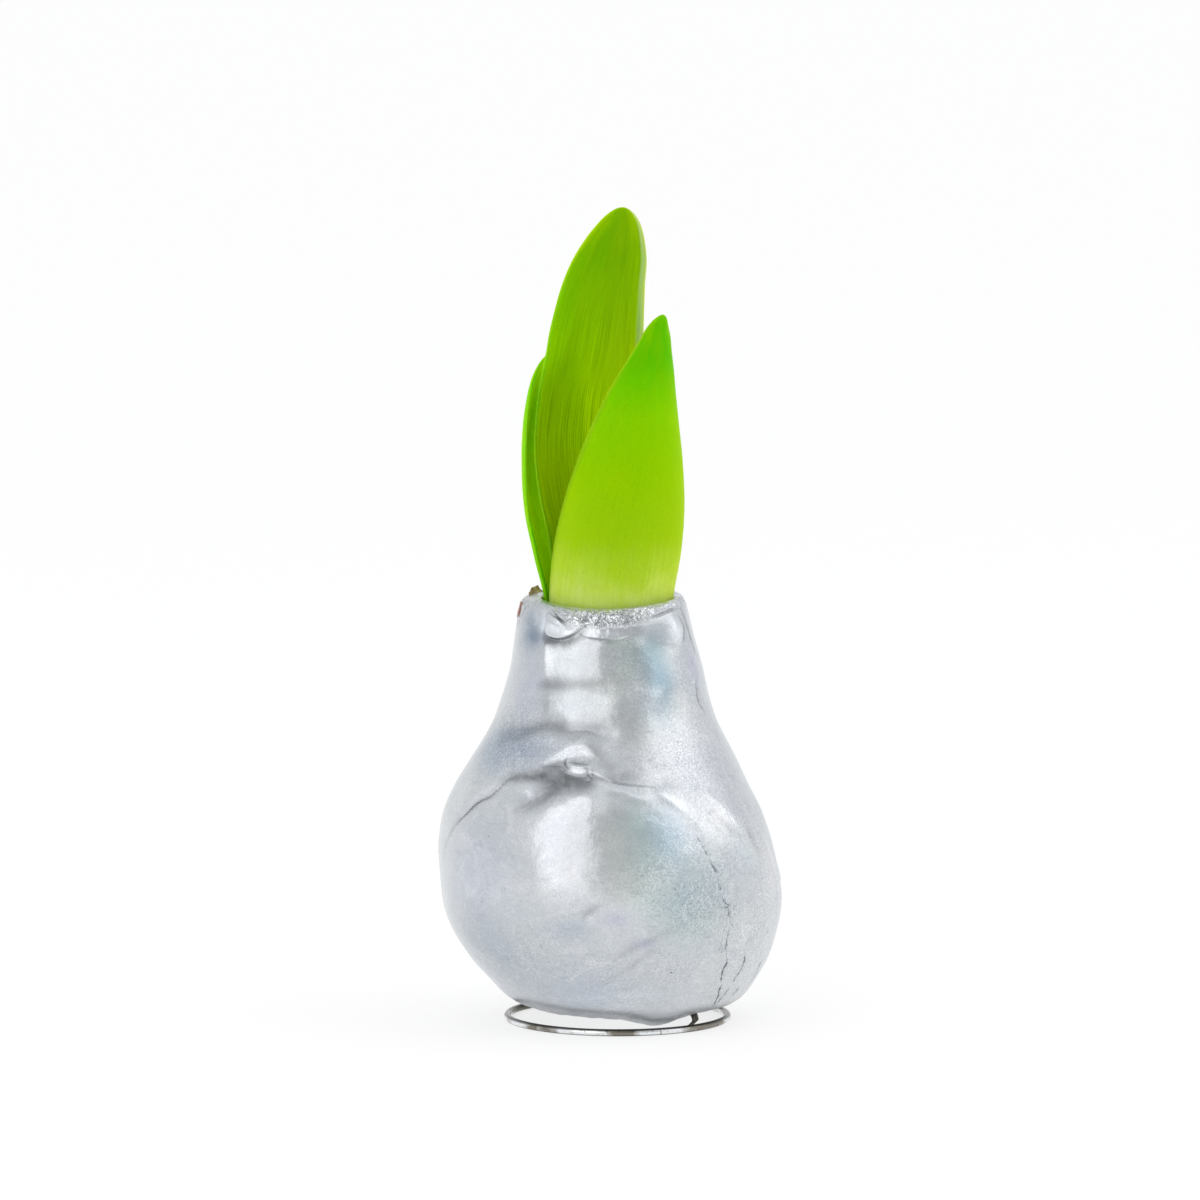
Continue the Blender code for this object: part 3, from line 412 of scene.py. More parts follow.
# Each leaf's colours by height, its colours across its width, its left and right margins with their breadth,
# share and colour, and how strong its streaks are
LIME = (
    ((0, (0.66, 0.8, 0.19)), (0.155, (0.64, 0.79, 0.18)), (0.2, (0.57, 0.73, 0.1)),
     (0.26, (0.46, 0.65, 0.035)), (0.35, (0.36, 0.59, 0.005)), (0.52, (0.31, 0.59, 0)),
     (0.7, (0.25, 0.59, 0)), (0.78, (0.17, 0.55, 0)), (0.86, (0.1, 0.47, 0)), (1, (0.1, 0.43, 0))),
    ((0, (0.92, 0.96, 1)), (0.3, (0.94, 0.97, 1)), (0.7, (1, 1, 1)), (1, (0.96, 0.96, 1))),
    ((0.055, 0.6, (0.2, 0.42, 0.01)), (0.06, 0.35, (0.42, 0.64, 0.04))),
    0.05,
)
GREEN = (
    ((0, (0.72, 0.92, 0.02)), (0.3, (0.76, 0.98, 0)), (0.46, (0.56, 0.86, 0)), (0.62, (0.37, 0.65, 0)),
     (0.75, (0.21, 0.48, 0)), (0.88, (0.105, 0.35, 0)), (1, (0.07, 0.29, 0))),
    ((0, (0.96, 0.86, 1)), (0.12, (1, 0.86, 1)), (0.34, (0.98, 0.9, 1)), (0.6, (0.94, 0.97, 1)),
     (1, (0.84, 1, 1))),
    # The first margin is given a pale colour as a painted sheen where it turns towards the light
    ((0.09, 1, (0.26, 0.4, 0.24)), (0.035, 0.8, (0.12, 0.46, 0.01))),
    0.42,
)
DEEP_GREEN = (
    ((0, (0.6, 1, 0)), (0.35, (0.56, 1, 0)), (1, (0.42, 1, 0))),
    ((0, (1, 1, 1)), (0.86, (1, 0.96, 1)), (0.97, (0.62, 1, 1)), (1, (0.55, 1, 1))),
    ((0.08, 0.4, (0.4, 0.72, 0.02)), (0.1, 0.95, (0.18, 0.6, 0.01))),
    0.12,
)
# Piece, rows, CAD node, slot, how far it ruffles, the share of its length that its tip takes up, and looks
LEAVES = (
    ("front_blade", FRONT_LEAF, "leaf_front", "leaf_lime", 0.35, 0.022, LIME),
    ("tall_blade", TALL_LEAF, "leaf_tall", "leaf_green", 0.35, 0.045, GREEN),
    ("left_blade", LEFT_LEAF, "leaf_left", "leaf_deep_green", 0.3, 0.16, DEEP_GREEN),
)
# How far round in degrees a leaf's tip gets, and the share of its thickness that is left at the margins
TIP_TURN = 88
MARGIN_THICKNESS = 0.5
# How squarely the margins close, the share of the length over which the tip closes, and the veins' rise
MARGIN_POWER = 40
TIP_CLOSING = 0.02
VEIN_RISE = 0.045
WELD = 0.01
LEAF_SHEEN_COLOUR = (0.5, 0.66, 0.01)
LEAF_HAIR_COLOUR = (0.09, 0.24, 0)
LEAF_MOTTLE_COLOUR = (0.42, 0.6, 0)
LEAF_SPECK_COLOUR = (0.1, 0.3, 0)

# An edge's rows, how far above the line it swells, how soft it is and how far below the line its cut reaches
LIPS = ((OVERLAP, 3, 0.25, 0.9), (LOBE, 3.8, 0.45, 1.3), (BAND, 2.2, 0.25, 0.8))
# The narrowest half width of a stroke, so that its fading ends stay finite
NARROWEST = 0.2
# How far from a crack or an edge the skin still knows its distance, how wide a crack is and how deep a pit is
LINE_REACH = 2.0
CRACK_HALF_WIDTH = 0.45
PIT_DEPTH = 0.30
# The skin's unevenness, broad to fine, and that of its ragged lower edge: how far out, size and shift
BROAD, MIDDLING, FINE = (0.35, 22, 2.2), (0.12, 8, 4.4), (0.035, 2.6, 6.6)
LOWER_EDGE = (0.2, 2.8, 5.5)
LOWER_EDGE_HEIGHTS = (4.5, 8)
LOWER_EDGE_RADII = (18, 26)
# The crumpled rim: its middle and half breadth, and how far its folds stand out
CRUMPLE_FRONT = (-92, 34)
CRUMPLE_RISE = 0.3
CRUMPLE_SKEW = np.array([[1, 0, 0.5], [0, 1, 0.3], [-0.6, 0.2, 1]])
FOIL_FRONT = (-86, 30)
# The finely creased band under the rim: its middle, half breadth, the heights it starts between, and its rise
CREASED_BAND = (-92, 14)
CREASED_BAND_HEIGHTS = (109.2, 110.2)
CREASED_BAND_RISE = 0.1
# The leathery patch: azimuth, height, half breadth, half height
LEATHERY = (-60, 40, 12.5, 12)
PLAIN_GRAIN = 0.28
# The painted shade of the underside: the heights it fades out between, the radii it starts between, and how
# dark it is
UNDERSIDE_HEIGHTS = (4.8, 8.8)
UNDERSIDE_RADII = (18, 27)
UNDERSIDE_SHADE = 0.36
TINT_LIMITS = (0.2, 1.5)

# Colours of the silver
DULL_SILVER, SILVER = (0.55, 0.58, 0.62), (0.63, 0.655, 0.67)
SMEAR, PALE_PATCH = (0.36, 0.385, 0.42), (0.76, 0.78, 0.8)
DARK_CLOUD, PALE_CLOUD = (0.42, 0.445, 0.47), (0.82, 0.83, 0.84)
CRACK_COLOUR, SPECK_COLOUR = (0.12, 0.14, 0.17), (0.2, 0.25, 0.27)
# Painted shade and painted highlight along the overlap's edge
OVERLAP_PAINTED_SHADE, OVERLAP_PAINTED_HIGHLIGHT = (0.12, 0.13, 0.15), (0.8, 0.82, 0.84)
# Painted shade in the grooves; the crumpled rim's paler colour, and painted shade in its folds
GROOVE_PAINTED_SHADE = (0.2, 0.27, 0.28)
FOIL_COLOUR, FOIL_FOLD_PAINTED_SHADE = (0.88, 0.9, 0.91), (0.22, 0.24, 0.26)
# Colours of the wire: its chrome, its painted dark reflection and specks, and its painted shade
CHROME, PAINTED_DARK_REFLECTION, SPOT = (0.86, 0.88, 0.9), (0.24, 0.22, 0.19), (0.08, 0.07, 0.06)
WIRE_PAINTED_SHADE, WIRE_FAR_PAINTED_SHADE = (0.05, 0.05, 0.04), (0.06, 0.06, 0.045)
# Colours of the bulb: two browns of its paper, the stains on it, and the flesh
PAPER, DARK_PAPER, STAIN = (0.36, 0.16, 0.12), (0.12, 0.04, 0.03), (0.52, 0.4, 0.36)
FLESH, DARK_FLESH = (0.62, 0.7, 0.3), (0.42, 0.56, 0.14)

# The wall of torn tunic in the mouth of the wax
WALL_FOOT = 108
WALL_EDGE = 117.3
WALL_RADIUS = 18.25
WALL_THICKNESS = 0.16
# Its dip at the front, and its points: azimuth, how far down or up, breadth in degrees
WALL_DIP = (-70, 1.5, 75)
WALL_POINTS = ((164, 3.6, 9), (157, 1.4, 3), (178, 1.6, 6), (70, 1.4, 9), (88, 1, 4))
# How it flares out at the left: degrees from the middle azimuth, and radius
FLARE_MIDDLE = 160
FLARE = ((-70, 18.25), (-30, 19.4), (-8, 21), (14, 22.4), (40, 20.4), (60, 18.25))
# The flesh inside it, from the wall to the middle: radius and height
BOWL = (
    (18.1, 108), (15, 107.4), (12.6, 108.6), (11.4, 110.4), (10.6, 108.2), (8.6, 107.6), (7.6, 109.6),
    (6.9, 107.4), (4.6, 106.8), (2.2, 108), (0.2, 108.4),
)
# The flake of tunic outside the rim: its azimuths, lower and upper height, middle in X, how far its two faces
# stand off, and its radius by height
FLAKE_AZIMUTHS = (166, 191)
FLAKE_HEIGHTS = (113, 117.3)
FLAKE_X = -1.8
FLAKE_FACES = (0.12, -0.15)
FLAKE_RADII = ((112, 24.2), (114.5, 23.75), (117, 23.1), (118.4, 22.3))

# Where the end of the wire starts to rise off the ring
RISER_START = -54.0
# How far in under the wax the wire still goes, in steps
RISER_TAIL = (2, 6, 12)

# Fineness
SKIN_COLUMNS = 330
SKIN_ROWS = 285
LEAF_ACROSS = 84
LEAF_ALONG = 170
RING_STEPS = 256
WIRE_SIDES = 28
RISER_STEPS = 12
BEND_STEPS = 11
NECK_COLUMNS = 240
WALL_ROWS = 26
BOWL_ROWS = 60
FLAKE_COLUMNS = 16
FLAKE_ROWS = 12
# Where the skin's grid is finer, by height at the rim and the overlap, and by azimuth at the front and the
# cracks: middle, half width, how much finer
FINER_HEIGHTS = ((114, 6, 2.2), (66, 13, 1.2))
FINER_AZIMUTHS = ((-95, 52, 1.5), (-44, 12, 0.9))
PLAIN_DENSITY = 0.8

# The camera, from the photograph's viewing angle, through a long lens
EYE = (-2.78, -2300.0, 367.7)
TARGET = (-2.78, 0.0, 117.7)
FIELD = 333.6
SENSOR = 36.0
FAR_CLIP = 100

# The studio: the height that the lights face, each light, the grey part of the room and the floor
LIT_HEIGHT = 90
# Name, azimuth, elevation, and then in metres the distance, width and height, its power and its colour
LIGHTS = (
    ("window", -118, 19, 1.2, 0.90, 1.08, 2.45, (1.0, 0.95, 0.935)),
    ("side", -12, 36, 1.3, 1.3, 1.0, 2.2, (1.0, 0.97, 0.955)),
)
GREY_TOWARDS = (0.22, -1.0, 0.05)
GREY_FROM, GREY_FULL = 0.50, 0.95
WHITE_STRENGTH, GREY_STRENGTH = 0.93, 0.58
SKY = (0.985, 0.992, 1.0)
FLOOR_METRES = 60
FLOOR_GREY = 0.30
FLOOR_GLOW = 0.72


def follow(rows, keys):
    """Every column after the first of rows, read at keys from a smooth curve through every row."""
    table = np.array(rows, float)
    keys = np.asarray(keys, float)
    last = len(table) - 1
    i = np.clip(np.searchsorted(table[:, 0], keys, side="right") - 1, 0, last - 1)
    span = (table[i + 1, 0] - table[i, 0])[..., None]
    f = np.clip((keys - table[i, 0])[..., None] / span, 0, 1)

    def rise(k):
        low, high = table[np.maximum(k - 1, 0)], table[np.minimum(k + 1, last)]
        return span * (high[..., 1:] - low[..., 1:]) / (high[..., :1] - low[..., :1])

    return (
        table[i, 1:] * (1 + 2 * f) * (1 - f) ** 2
        + rise(i) * f * (1 - f) ** 2
        + table[i + 1, 1:] * f * f * (3 - 2 * f)
        + rise(i + 1) * f * f * (f - 1)
    )


def blend(low, high, value):
    """From 0 at low to 1 at high, smoothly."""
    f = np.clip((value - low) / (high - low), 0, 1)
    return f * f * (3 - 2 * f)


def bell(away, breadth, power=2):
    """1 in the middle, and less the further away on either side."""
    return np.exp(-((away / breadth) ** power))


def turn_from(azimuth, middle):
    """How far round azimuth is from middle, from -180 to 180."""
    return (azimuth - middle + 180) % 360 - 180


def spread(low, high, count, density):
    """Count places from low to high, packed in proportion to density."""
    fine = np.linspace(low, high, 4000)
    total = np.concatenate([[0], np.cumsum(0.5 * (density(fine[1:]) + density(fine[:-1])))])
    return np.interp(np.linspace(0, total[-1], count), total, fine)


def rough(points, size, shift=0.0):
    """Smooth noise from -1 to 1 at each point, with features about as large as size, in mm."""
    scaled = (points.reshape(-1, 3) / size + shift).tolist()
    return np.array([noise.noise(p) for p in scaled]).reshape(points.shape[:-1])


def unevenness(points, far, size, shift):
    """Noise that stands out by up to far."""
    return far * rough(points, size, shift)


def directions(turn):
    """Level unit vectors at angles in radians."""
    return np.stack([np.cos(turn), np.sin(turn), 0 * turn], -1)


def normals_of(grid, closed):
    """Unit normals of a grid of points, rows by columns. Closed columns meet again."""
    if closed:
        padded = np.concatenate([grid[:, -1:], grid, grid[:, :1]], axis=1)
        along = np.gradient(padded, axis=1)[:, 1:-1]
    else:
        along = np.gradient(grid, axis=1)
    down = np.gradient(grid, axis=0)
    normal = np.cross(along, down)
    return normal / np.maximum(np.linalg.norm(normal, axis=-1, keepdims=True), 1e-9)


def grid_faces(rows, columns, closed, start=0):
    """Four-cornered faces between neighbouring points of a grid."""
    wide = columns if closed else columns - 1
    r, c = np.meshgrid(np.arange(rows - 1), np.arange(wide), indexing="ij")
    here, below, after = r * columns, (r + 1) * columns, (c + 1) % columns
    corners = np.stack([here + c, below + c, below + after, here + after], -1)
    return (corners.reshape(-1, 4) + start).tolist()


def new_piece(name, points, faces, node, material):
    """A smooth mesh from points in mm, riding on the body in place of its CAD node."""
    mesh = bpy.data.meshes.new(name)
    mesh.from_pydata((np.asarray(points).reshape(-1, 3) * MM).tolist(), [], faces)
    mesh.materials.append(material)
    mesh.shade_smooth()
    piece = bpy.data.objects.new(name, mesh)
    bpy.context.scene.collection.objects.link(piece)
    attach(piece, "root")
    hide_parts(node)
    return piece


class Nodes:
    """Short calls for building one material's node tree."""

    def __init__(self, name):
        self.material = bpy.data.materials.new(name)
        self.material.use_nodes = True
        self.tree = self.material.node_tree
        self.shader = self.tree.nodes["Principled BSDF"]

    def add(self, kind, **settings):
        made = self.tree.nodes.new("ShaderNode" + kind)
        for key, value in settings.items():
            setattr(made, key, value)
        return made

    def feed(self, socket, value):
        if isinstance(value, bpy.types.NodeSocket):
            self.tree.links.new(value, socket)
        else:
            socket.default_value = value

    def math(self, operation, *values, clamp=False):
        made = self.add("Math", operation=operation, use_clamp=clamp)
        for socket, value in zip(made.inputs, values):
            self.feed(socket, value)
        return made.outputs[0]

    def times(self, first, second, clamp=False):
        return self.math("MULTIPLY", first, second, clamp=clamp)

    def plus(self, first, second):
        return self.math("ADD", first, second)

    def minus(self, first, second):
        return self.math("SUBTRACT", first, second)

    def over(self, first, second):
        return self.math("DIVIDE", first, second, clamp=True)

    def size(self, value):
        return self.math("ABSOLUTE", value)

    def mix(self, share, first, second, blend_type="MIX"):
        made = self.add("Mix", data_type="RGBA", blend_type=blend_type)
        self.feed(made.inputs[0], share)
        self.feed(made.inputs[6], first)
        self.feed(made.inputs[7], second)
        return made.outputs[2]

    def blend(self, share, first, second):
        """From one plain colour to another."""
        return self.mix(share, (*first, 1), (*second, 1))

    def paint(self, base, share, colour):
        """A plain colour laid over base."""
        return self.mix(share, base, (*colour, 1))

    def span(self, value, low, high, to_low=0.0, to_high=1.0):
        made = self.add("MapRange", clamp=True)
        for i, item in enumerate((value, low, high, to_low, to_high)):
            self.feed(made.inputs[i], item)
        return made.outputs[0]

    def distance(self, share):
        """The millimetres that a creases channel holds as a share."""
        return self.span(share, 0, 1, -LINE_REACH, LINE_REACH)

    def creased(self, value, sharpness):
        """0 along the middle of a noise's range, rising to 1 on both sides."""
        return self.times(self.size(self.minus(value, 0.5)), sharpness, clamp=True)

    def noise(self, vector, scale, detail=2.0, roughness=0.5, distortion=0.0):
        made = self.add("TexNoise")
        self.feed(made.inputs["Vector"], vector)
        self.feed(made.inputs["Scale"], scale)
        self.feed(made.inputs["Detail"], detail)
        self.feed(made.inputs["Roughness"], roughness)
        self.feed(made.inputs["Distortion"], distortion)
        return made.outputs["Fac"]

    def place(self):
        """The place on the object in its own frame, in metres."""
        return self.add("TexCoord").outputs["Object"]

    def axes(self, vector):
        made = self.add("SeparateXYZ")
        self.feed(made.inputs[0], vector)
        return made.outputs

    def stretch(self, vector, scale):
        made = self.add("Mapping")
        self.feed(made.inputs["Vector"], vector)
        self.feed(made.inputs["Scale"], scale)
        return made.outputs[0]

    def attribute(self, name):
        return self.add("Attribute", attribute_name=name)

    def split(self, colour):
        made = self.add("SeparateColor")
        self.feed(made.inputs[0], colour)
        return made.outputs[0], made.outputs[1], made.outputs[2]

    def ramp(self, value, stops):
        made = self.add("ValToRGB")
        elements = made.color_ramp.elements
        while len(elements) < len(stops):
            elements.new(0.5)
        for element, (place, colour) in zip(elements, stops):
            element.position = place
            element.color = (*colour, 1)
        self.feed(made.inputs[0], value)
        return made.outputs[0]

    def bump(self, height, strength, depth, before=None):
        """A normal bumped by height. The depth is in mm."""
        made = self.add("Bump")
        self.feed(made.inputs["Height"], height)
        self.feed(made.inputs["Strength"], strength)
        made.inputs["Distance"].default_value = depth * MM
        if before:
            self.feed(made.inputs["Normal"], before)
        return made.outputs[0]

    def finish(self, colour, roughness, normal, **constants):
        self.feed(self.shader.inputs["Base Color"], colour)
        self.feed(self.shader.inputs["Roughness"], roughness)
        self.feed(self.shader.inputs["Normal"], normal)
        for name, value in constants.items():
            self.shader.inputs[name.replace("_", " ")].default_value = value
        return self.material


def silver_sheen(m, place, tint_and_painted_light, grainy, cloud, patch, fine, peel):
    """The silver's colour: soft clouds and smears, times the tints with their painted shade and painted
    highlights, and a bristle of fine specks.
    """
    smear = m.noise(m.stretch(place, (1, 1, 3)), 130, 4, 0.6, 0.6)
    base = m.blend(m.span(cloud, 0.35, 0.68), DULL_SILVER, SILVER)
    # Times the tints, painted shade and painted highlights held on the skin's points
    base = m.mix(1.0, base, tint_and_painted_light, "MULTIPLY")
    base = m.paint(base, m.span(smear, 0.56, 0.74, 0, 0.30), SMEAR)
    base = m.paint(base, m.span(patch, 0.55, 0.75, 0, 0.22), PALE_PATCH)
    bristle = m.times(m.span(fine, 0.25, 0.75, 0.72, 1.28), m.span(peel, 0.25, 0.75, 0.78, 1.22))
    clouding = m.noise(place, 165, 3, 0.6, 1.4)
    base = m.paint(base, m.span(clouding, 0.54, 0.70, 0, 0.20), DARK_CLOUD)
    base = m.paint(base, m.span(clouding, 0.46, 0.30, 0, 0.22), PALE_CLOUD)
    strength = m.times(m.span(patch, 0.35, 0.65, 0.60, 1.1), grainy)
    bristle = m.plus(1.0, m.times(m.minus(bristle, 1.0), strength))
    speckle = m.add("CombineXYZ")
    for socket in speckle.inputs:
        m.feed(socket, bristle)
    return m.mix(1.0, base, speckle.outputs[0], "MULTIPLY")


def draw_cracks(m, base, place, from_crack, depth, wander):
    """Ragged dark cracks with specks beside them. Returns the colour and where the cracks are."""
    away = m.size(m.plus(m.distance(from_crack), wander))
    width = m.span(m.noise(place, 650, 1), 0.26, 0.70, 0.10, 0.42)
    crack = m.times(m.over(m.minus(width, away), 0.18), depth)
    base = m.paint(base, m.times(crack, 0.85), CRACK_COLOUR)
    beside = m.size(m.distance(from_crack))
    specks = m.times(m.span(m.noise(place, 1500, 1), 0.58, 0.66), m.span(beside, 0.3, 1.6, 1, 0))
    return m.paint(base, m.times(m.times(specks, depth), 0.6), SPECK_COLOUR), crack


def draw_overlap(m, base, from_overlap, drawn, wander):
    """Painted shade along the edge of the upper layer of wax, with a painted highlight on the lip over it."""
    along = m.distance(from_overlap)
    along = m.plus(along, m.times(wander, 0.22))
    dark = m.minus(0.26, m.size(m.plus(along, 0.10)))
    dark = m.times(m.over(dark, 0.20), drawn)
    pale = m.minus(0.55, m.size(m.minus(along, 0.75)))
    pale = m.times(m.over(pale, 0.5), drawn)
    base = m.paint(base, m.times(pale, 0.30), OVERLAP_PAINTED_HIGHLIGHT)
    return m.paint(base, m.times(dark, 0.80), OVERLAP_PAINTED_SHADE)


def wax_material():
    """Silver wax: grained metal with a fine orange peel, cracks, and a leathery patch at the front right."""
    m = Nodes("silver_wax")
    place = m.place()
    marks = m.attribute("marks")
    grainy, leathery, crumple = m.split(marks.outputs["Color"])
    creases = m.attribute("creases")
    from_crack, depth, from_overlap = m.split(creases.outputs["Color"])
    # The skin's tints, with its painted shade and painted highlights
    tint_and_painted_light = m.attribute("tint_and_painted_light").outputs["Color"]
    cloud = m.noise(place, 38, 3, 0.55)
    patch = m.noise(place, 95, 3, 0.6)
    grain = m.noise(place, 420, 3, 0.6)
    peel = m.noise(place, 1300, 2, 0.55)
    fine = m.noise(place, 2400, 1, 0.5)
    base = silver_sheen(m, place, tint_and_painted_light, grainy, cloud, patch, fine, peel)
    wander = m.times(m.minus(m.noise(place, 1100, 3, 0.7), 0.5), 1.8)
    base, crack = draw_cracks(m, base, place, from_crack, depth, wander)
    base = draw_overlap(m, base, from_overlap, creases.outputs["Alpha"], wander)

    # Painted shade in the leathery patch's grooves, and the crumpled rim's paler colour with painted shade in
    # its folds
    wrinkle = m.creased(m.noise(place, 900, 1.5, 0.5, 1.6), 12)
    groove = m.times(m.minus(1.0, wrinkle), leathery)
    base = m.paint(base, m.times(groove, 0.46), GROOVE_PAINTED_SHADE)
    fold = m.creased(m.noise(m.stretch(place, (1, 1, 0.7)), 520, 2.5, 0.7, 2.4), 18)
    base = m.paint(base, m.times(crumple, 0.7), FOIL_COLOUR)
    shut = m.times(m.minus(1.0, fold), crumple)
    base = m.paint(base, m.times(shut, 0.9), FOIL_FOLD_PAINTED_SHADE)

    uneven = m.span(grainy, 0.25, 1, 0.08, 0.30)
    normal = m.bump(peel, uneven, 0.22)
    normal = m.bump(fine, uneven, 0.08, normal)
    normal = m.bump(grain, 0.16, 0.35, normal)
    normal = m.bump(m.times(wrinkle, leathery), 0.55, 0.22, normal)
    normal = m.bump(m.times(crack, -1.0), 0.6, 0.35, normal)
    normal = m.bump(m.times(fold, crumple), 0.7, 0.4, normal)
    # Duller where it is grainy, along the cracks and low down, and glossier on the crumpled rim
    roughness = m.span(cloud, 0.3, 0.7, 0.20, 0.25)
    roughness = m.plus(roughness, m.span(grainy, 0.28, 1, 0, 0.10))
    roughness = m.plus(roughness, m.times(crack, 0.25))
    roughness = m.minus(roughness, m.times(crumple, 0.08))
    height = m.axes(place)[2]
    roughness = m.plus(roughness, m.span(height, 4 * MM, 12 * MM, 0.25, 0))
    return m.finish(
        base, roughness, normal, Metallic=0.90, Coat_Weight=0.10, Coat_Roughness=0.22, Coat_IOR=1.44,
    )


def leaf_material(name, along_stops, across_stops, margins, streak):
    """A strap leaf: colour by height and across it, margins of another colour, and fine veins along it."""
    m = Nodes(name)
    blade = m.add("UVMap", uv_map="blade").outputs[0]
    across, along, _ = m.axes(blade)
    veins = m.noise(m.stretch(blade, (46, 1.1, 1)), 1, 3, 0.6)
    hairs = m.noise(m.stretch(blade, (190, 5, 1)), 1, 2, 0.6)
    mottle = m.noise(m.stretch(blade, (5, 6, 1)), 1, 3, 0.6)
    speckle = m.noise(m.place(), 1500, 2, 0.6)
    wave = m.plus(along, m.times(m.minus(veins, 0.5), 0.08))
    wave = m.plus(wave, m.times(m.minus(mottle, 0.5), 0.16))
    base = m.ramp(wave, along_stops)
    base = m.mix(1.0, base, m.ramp(across, across_stops), "MULTIPLY")
    (low_reach, low_share, low_colour), (high_reach, high_share, high_colour) = margins
    base = m.paint(base, m.span(across, 0.6 * low_reach, low_reach, low_share, 0), low_colour)
    base = m.paint(base, m.span(across, 1 - high_reach, 1 - 0.6 * high_reach, 0, high_share), high_colour)
    base = m.paint(base, m.span(veins, 0.35, 0.68, 0, 0.5 * streak), LEAF_SHEEN_COLOUR)
    base = m.paint(base, m.span(hairs, 0.42, 0.64, 0, 1.5 * streak), LEAF_HAIR_COLOUR)
    base = m.paint(base, m.span(mottle, 0.46, 0.72, 0, 0.25), LEAF_MOTTLE_COLOUR)
    base = m.paint(base, m.span(speckle, 0.5, 0.75, 0, 0.16), LEAF_SPECK_COLOUR)
    normal = m.bump(veins, 0.20, 0.5)
    normal = m.bump(hairs, 0.16, 0.16, normal)
    normal = m.bump(speckle, 0.08, 0.2, normal)
    roughness = m.span(mottle, 0.3, 0.7, 0.36, 0.46)
    m.shader.inputs["Subsurface Radius"].default_value = (1, 1, 0.12)
    return m.finish(
        base, roughness, normal, Specular_IOR_Level=0.01, Subsurface_Weight=0.9, Subsurface_Scale=0.005,
    )


def chrome_material():
    """Bright wire with fine marks from drawing, blotches of painted dark reflection, and painted shade along
    its top and foot and at the far left.
    """
    m = Nodes("chrome_wire")
    place = m.place()
    reflection_blotches = m.noise(place, 60, 3, 0.6)
    spots = m.noise(place, 900, 2, 0.6)
    # Blotches of painted dark reflection over the chrome
    base = m.blend(m.span(reflection_blotches, 0.44, 0.53), CHROME, PAINTED_DARK_REFLECTION)
    base = m.paint(base, m.span(spots, 0.60, 0.70, 0, 0.7), SPOT)
    x, y, z = m.axes(place)
    # Painted shade along the top and the foot of the wire
    base = m.paint(base, m.span(z, 1.2 * MM, 1.6 * MM, 0, 0.90), WIRE_PAINTED_SHADE)
    base = m.paint(base, m.span(z, 0.2 * MM, 0.5 * MM, 0.80, 0), WIRE_PAINTED_SHADE)
    # Painted shade on the far left at the back
    far_left = m.times(m.span(y, 4 * MM, 10 * MM), m.span(x, -16 * MM, -10 * MM, 1, 0))
    base = m.paint(base, m.times(far_left, 0.85), WIRE_FAR_PAINTED_SHADE)
    normal = m.bump(m.noise(m.stretch(place, (1, 1, 9)), 900, 2, 0.6), 0.08, 0.1)
    roughness = m.span(spots, 0.4, 0.8, 0.10, 0.30)
    return m.finish(base, roughness, normal, Metallic=1.0)


def tunic_material():
    """Dry brown skin of the bulb, veined along its height, and the pale green flesh inside its neck."""
    m = Nodes("papery_tunic")
    place = m.place()
    flesh = m.attribute("flesh").outputs["Fac"]
    veins = m.noise(m.stretch(place, (1, 1, 0.12)), 900, 3, 0.6)
    stains = m.noise(place, 260, 3, 0.6)
    paper = m.blend(m.span(veins, 0.35, 0.7), PAPER, DARK_PAPER)
    paper = m.paint(paper, m.span(stains, 0.42, 0.66), STAIN)
    pale = m.blend(m.span(stains, 0.3, 0.7), FLESH, DARK_FLESH)
    base = m.mix(flesh, paper, pale)
    normal = m.bump(veins, 0.5, 0.3)
    normal = m.bump(stains, 0.3, 0.5, normal)
    return m.finish(base, m.span(stains, 0.3, 0.7, 0.55, 0.75), normal)


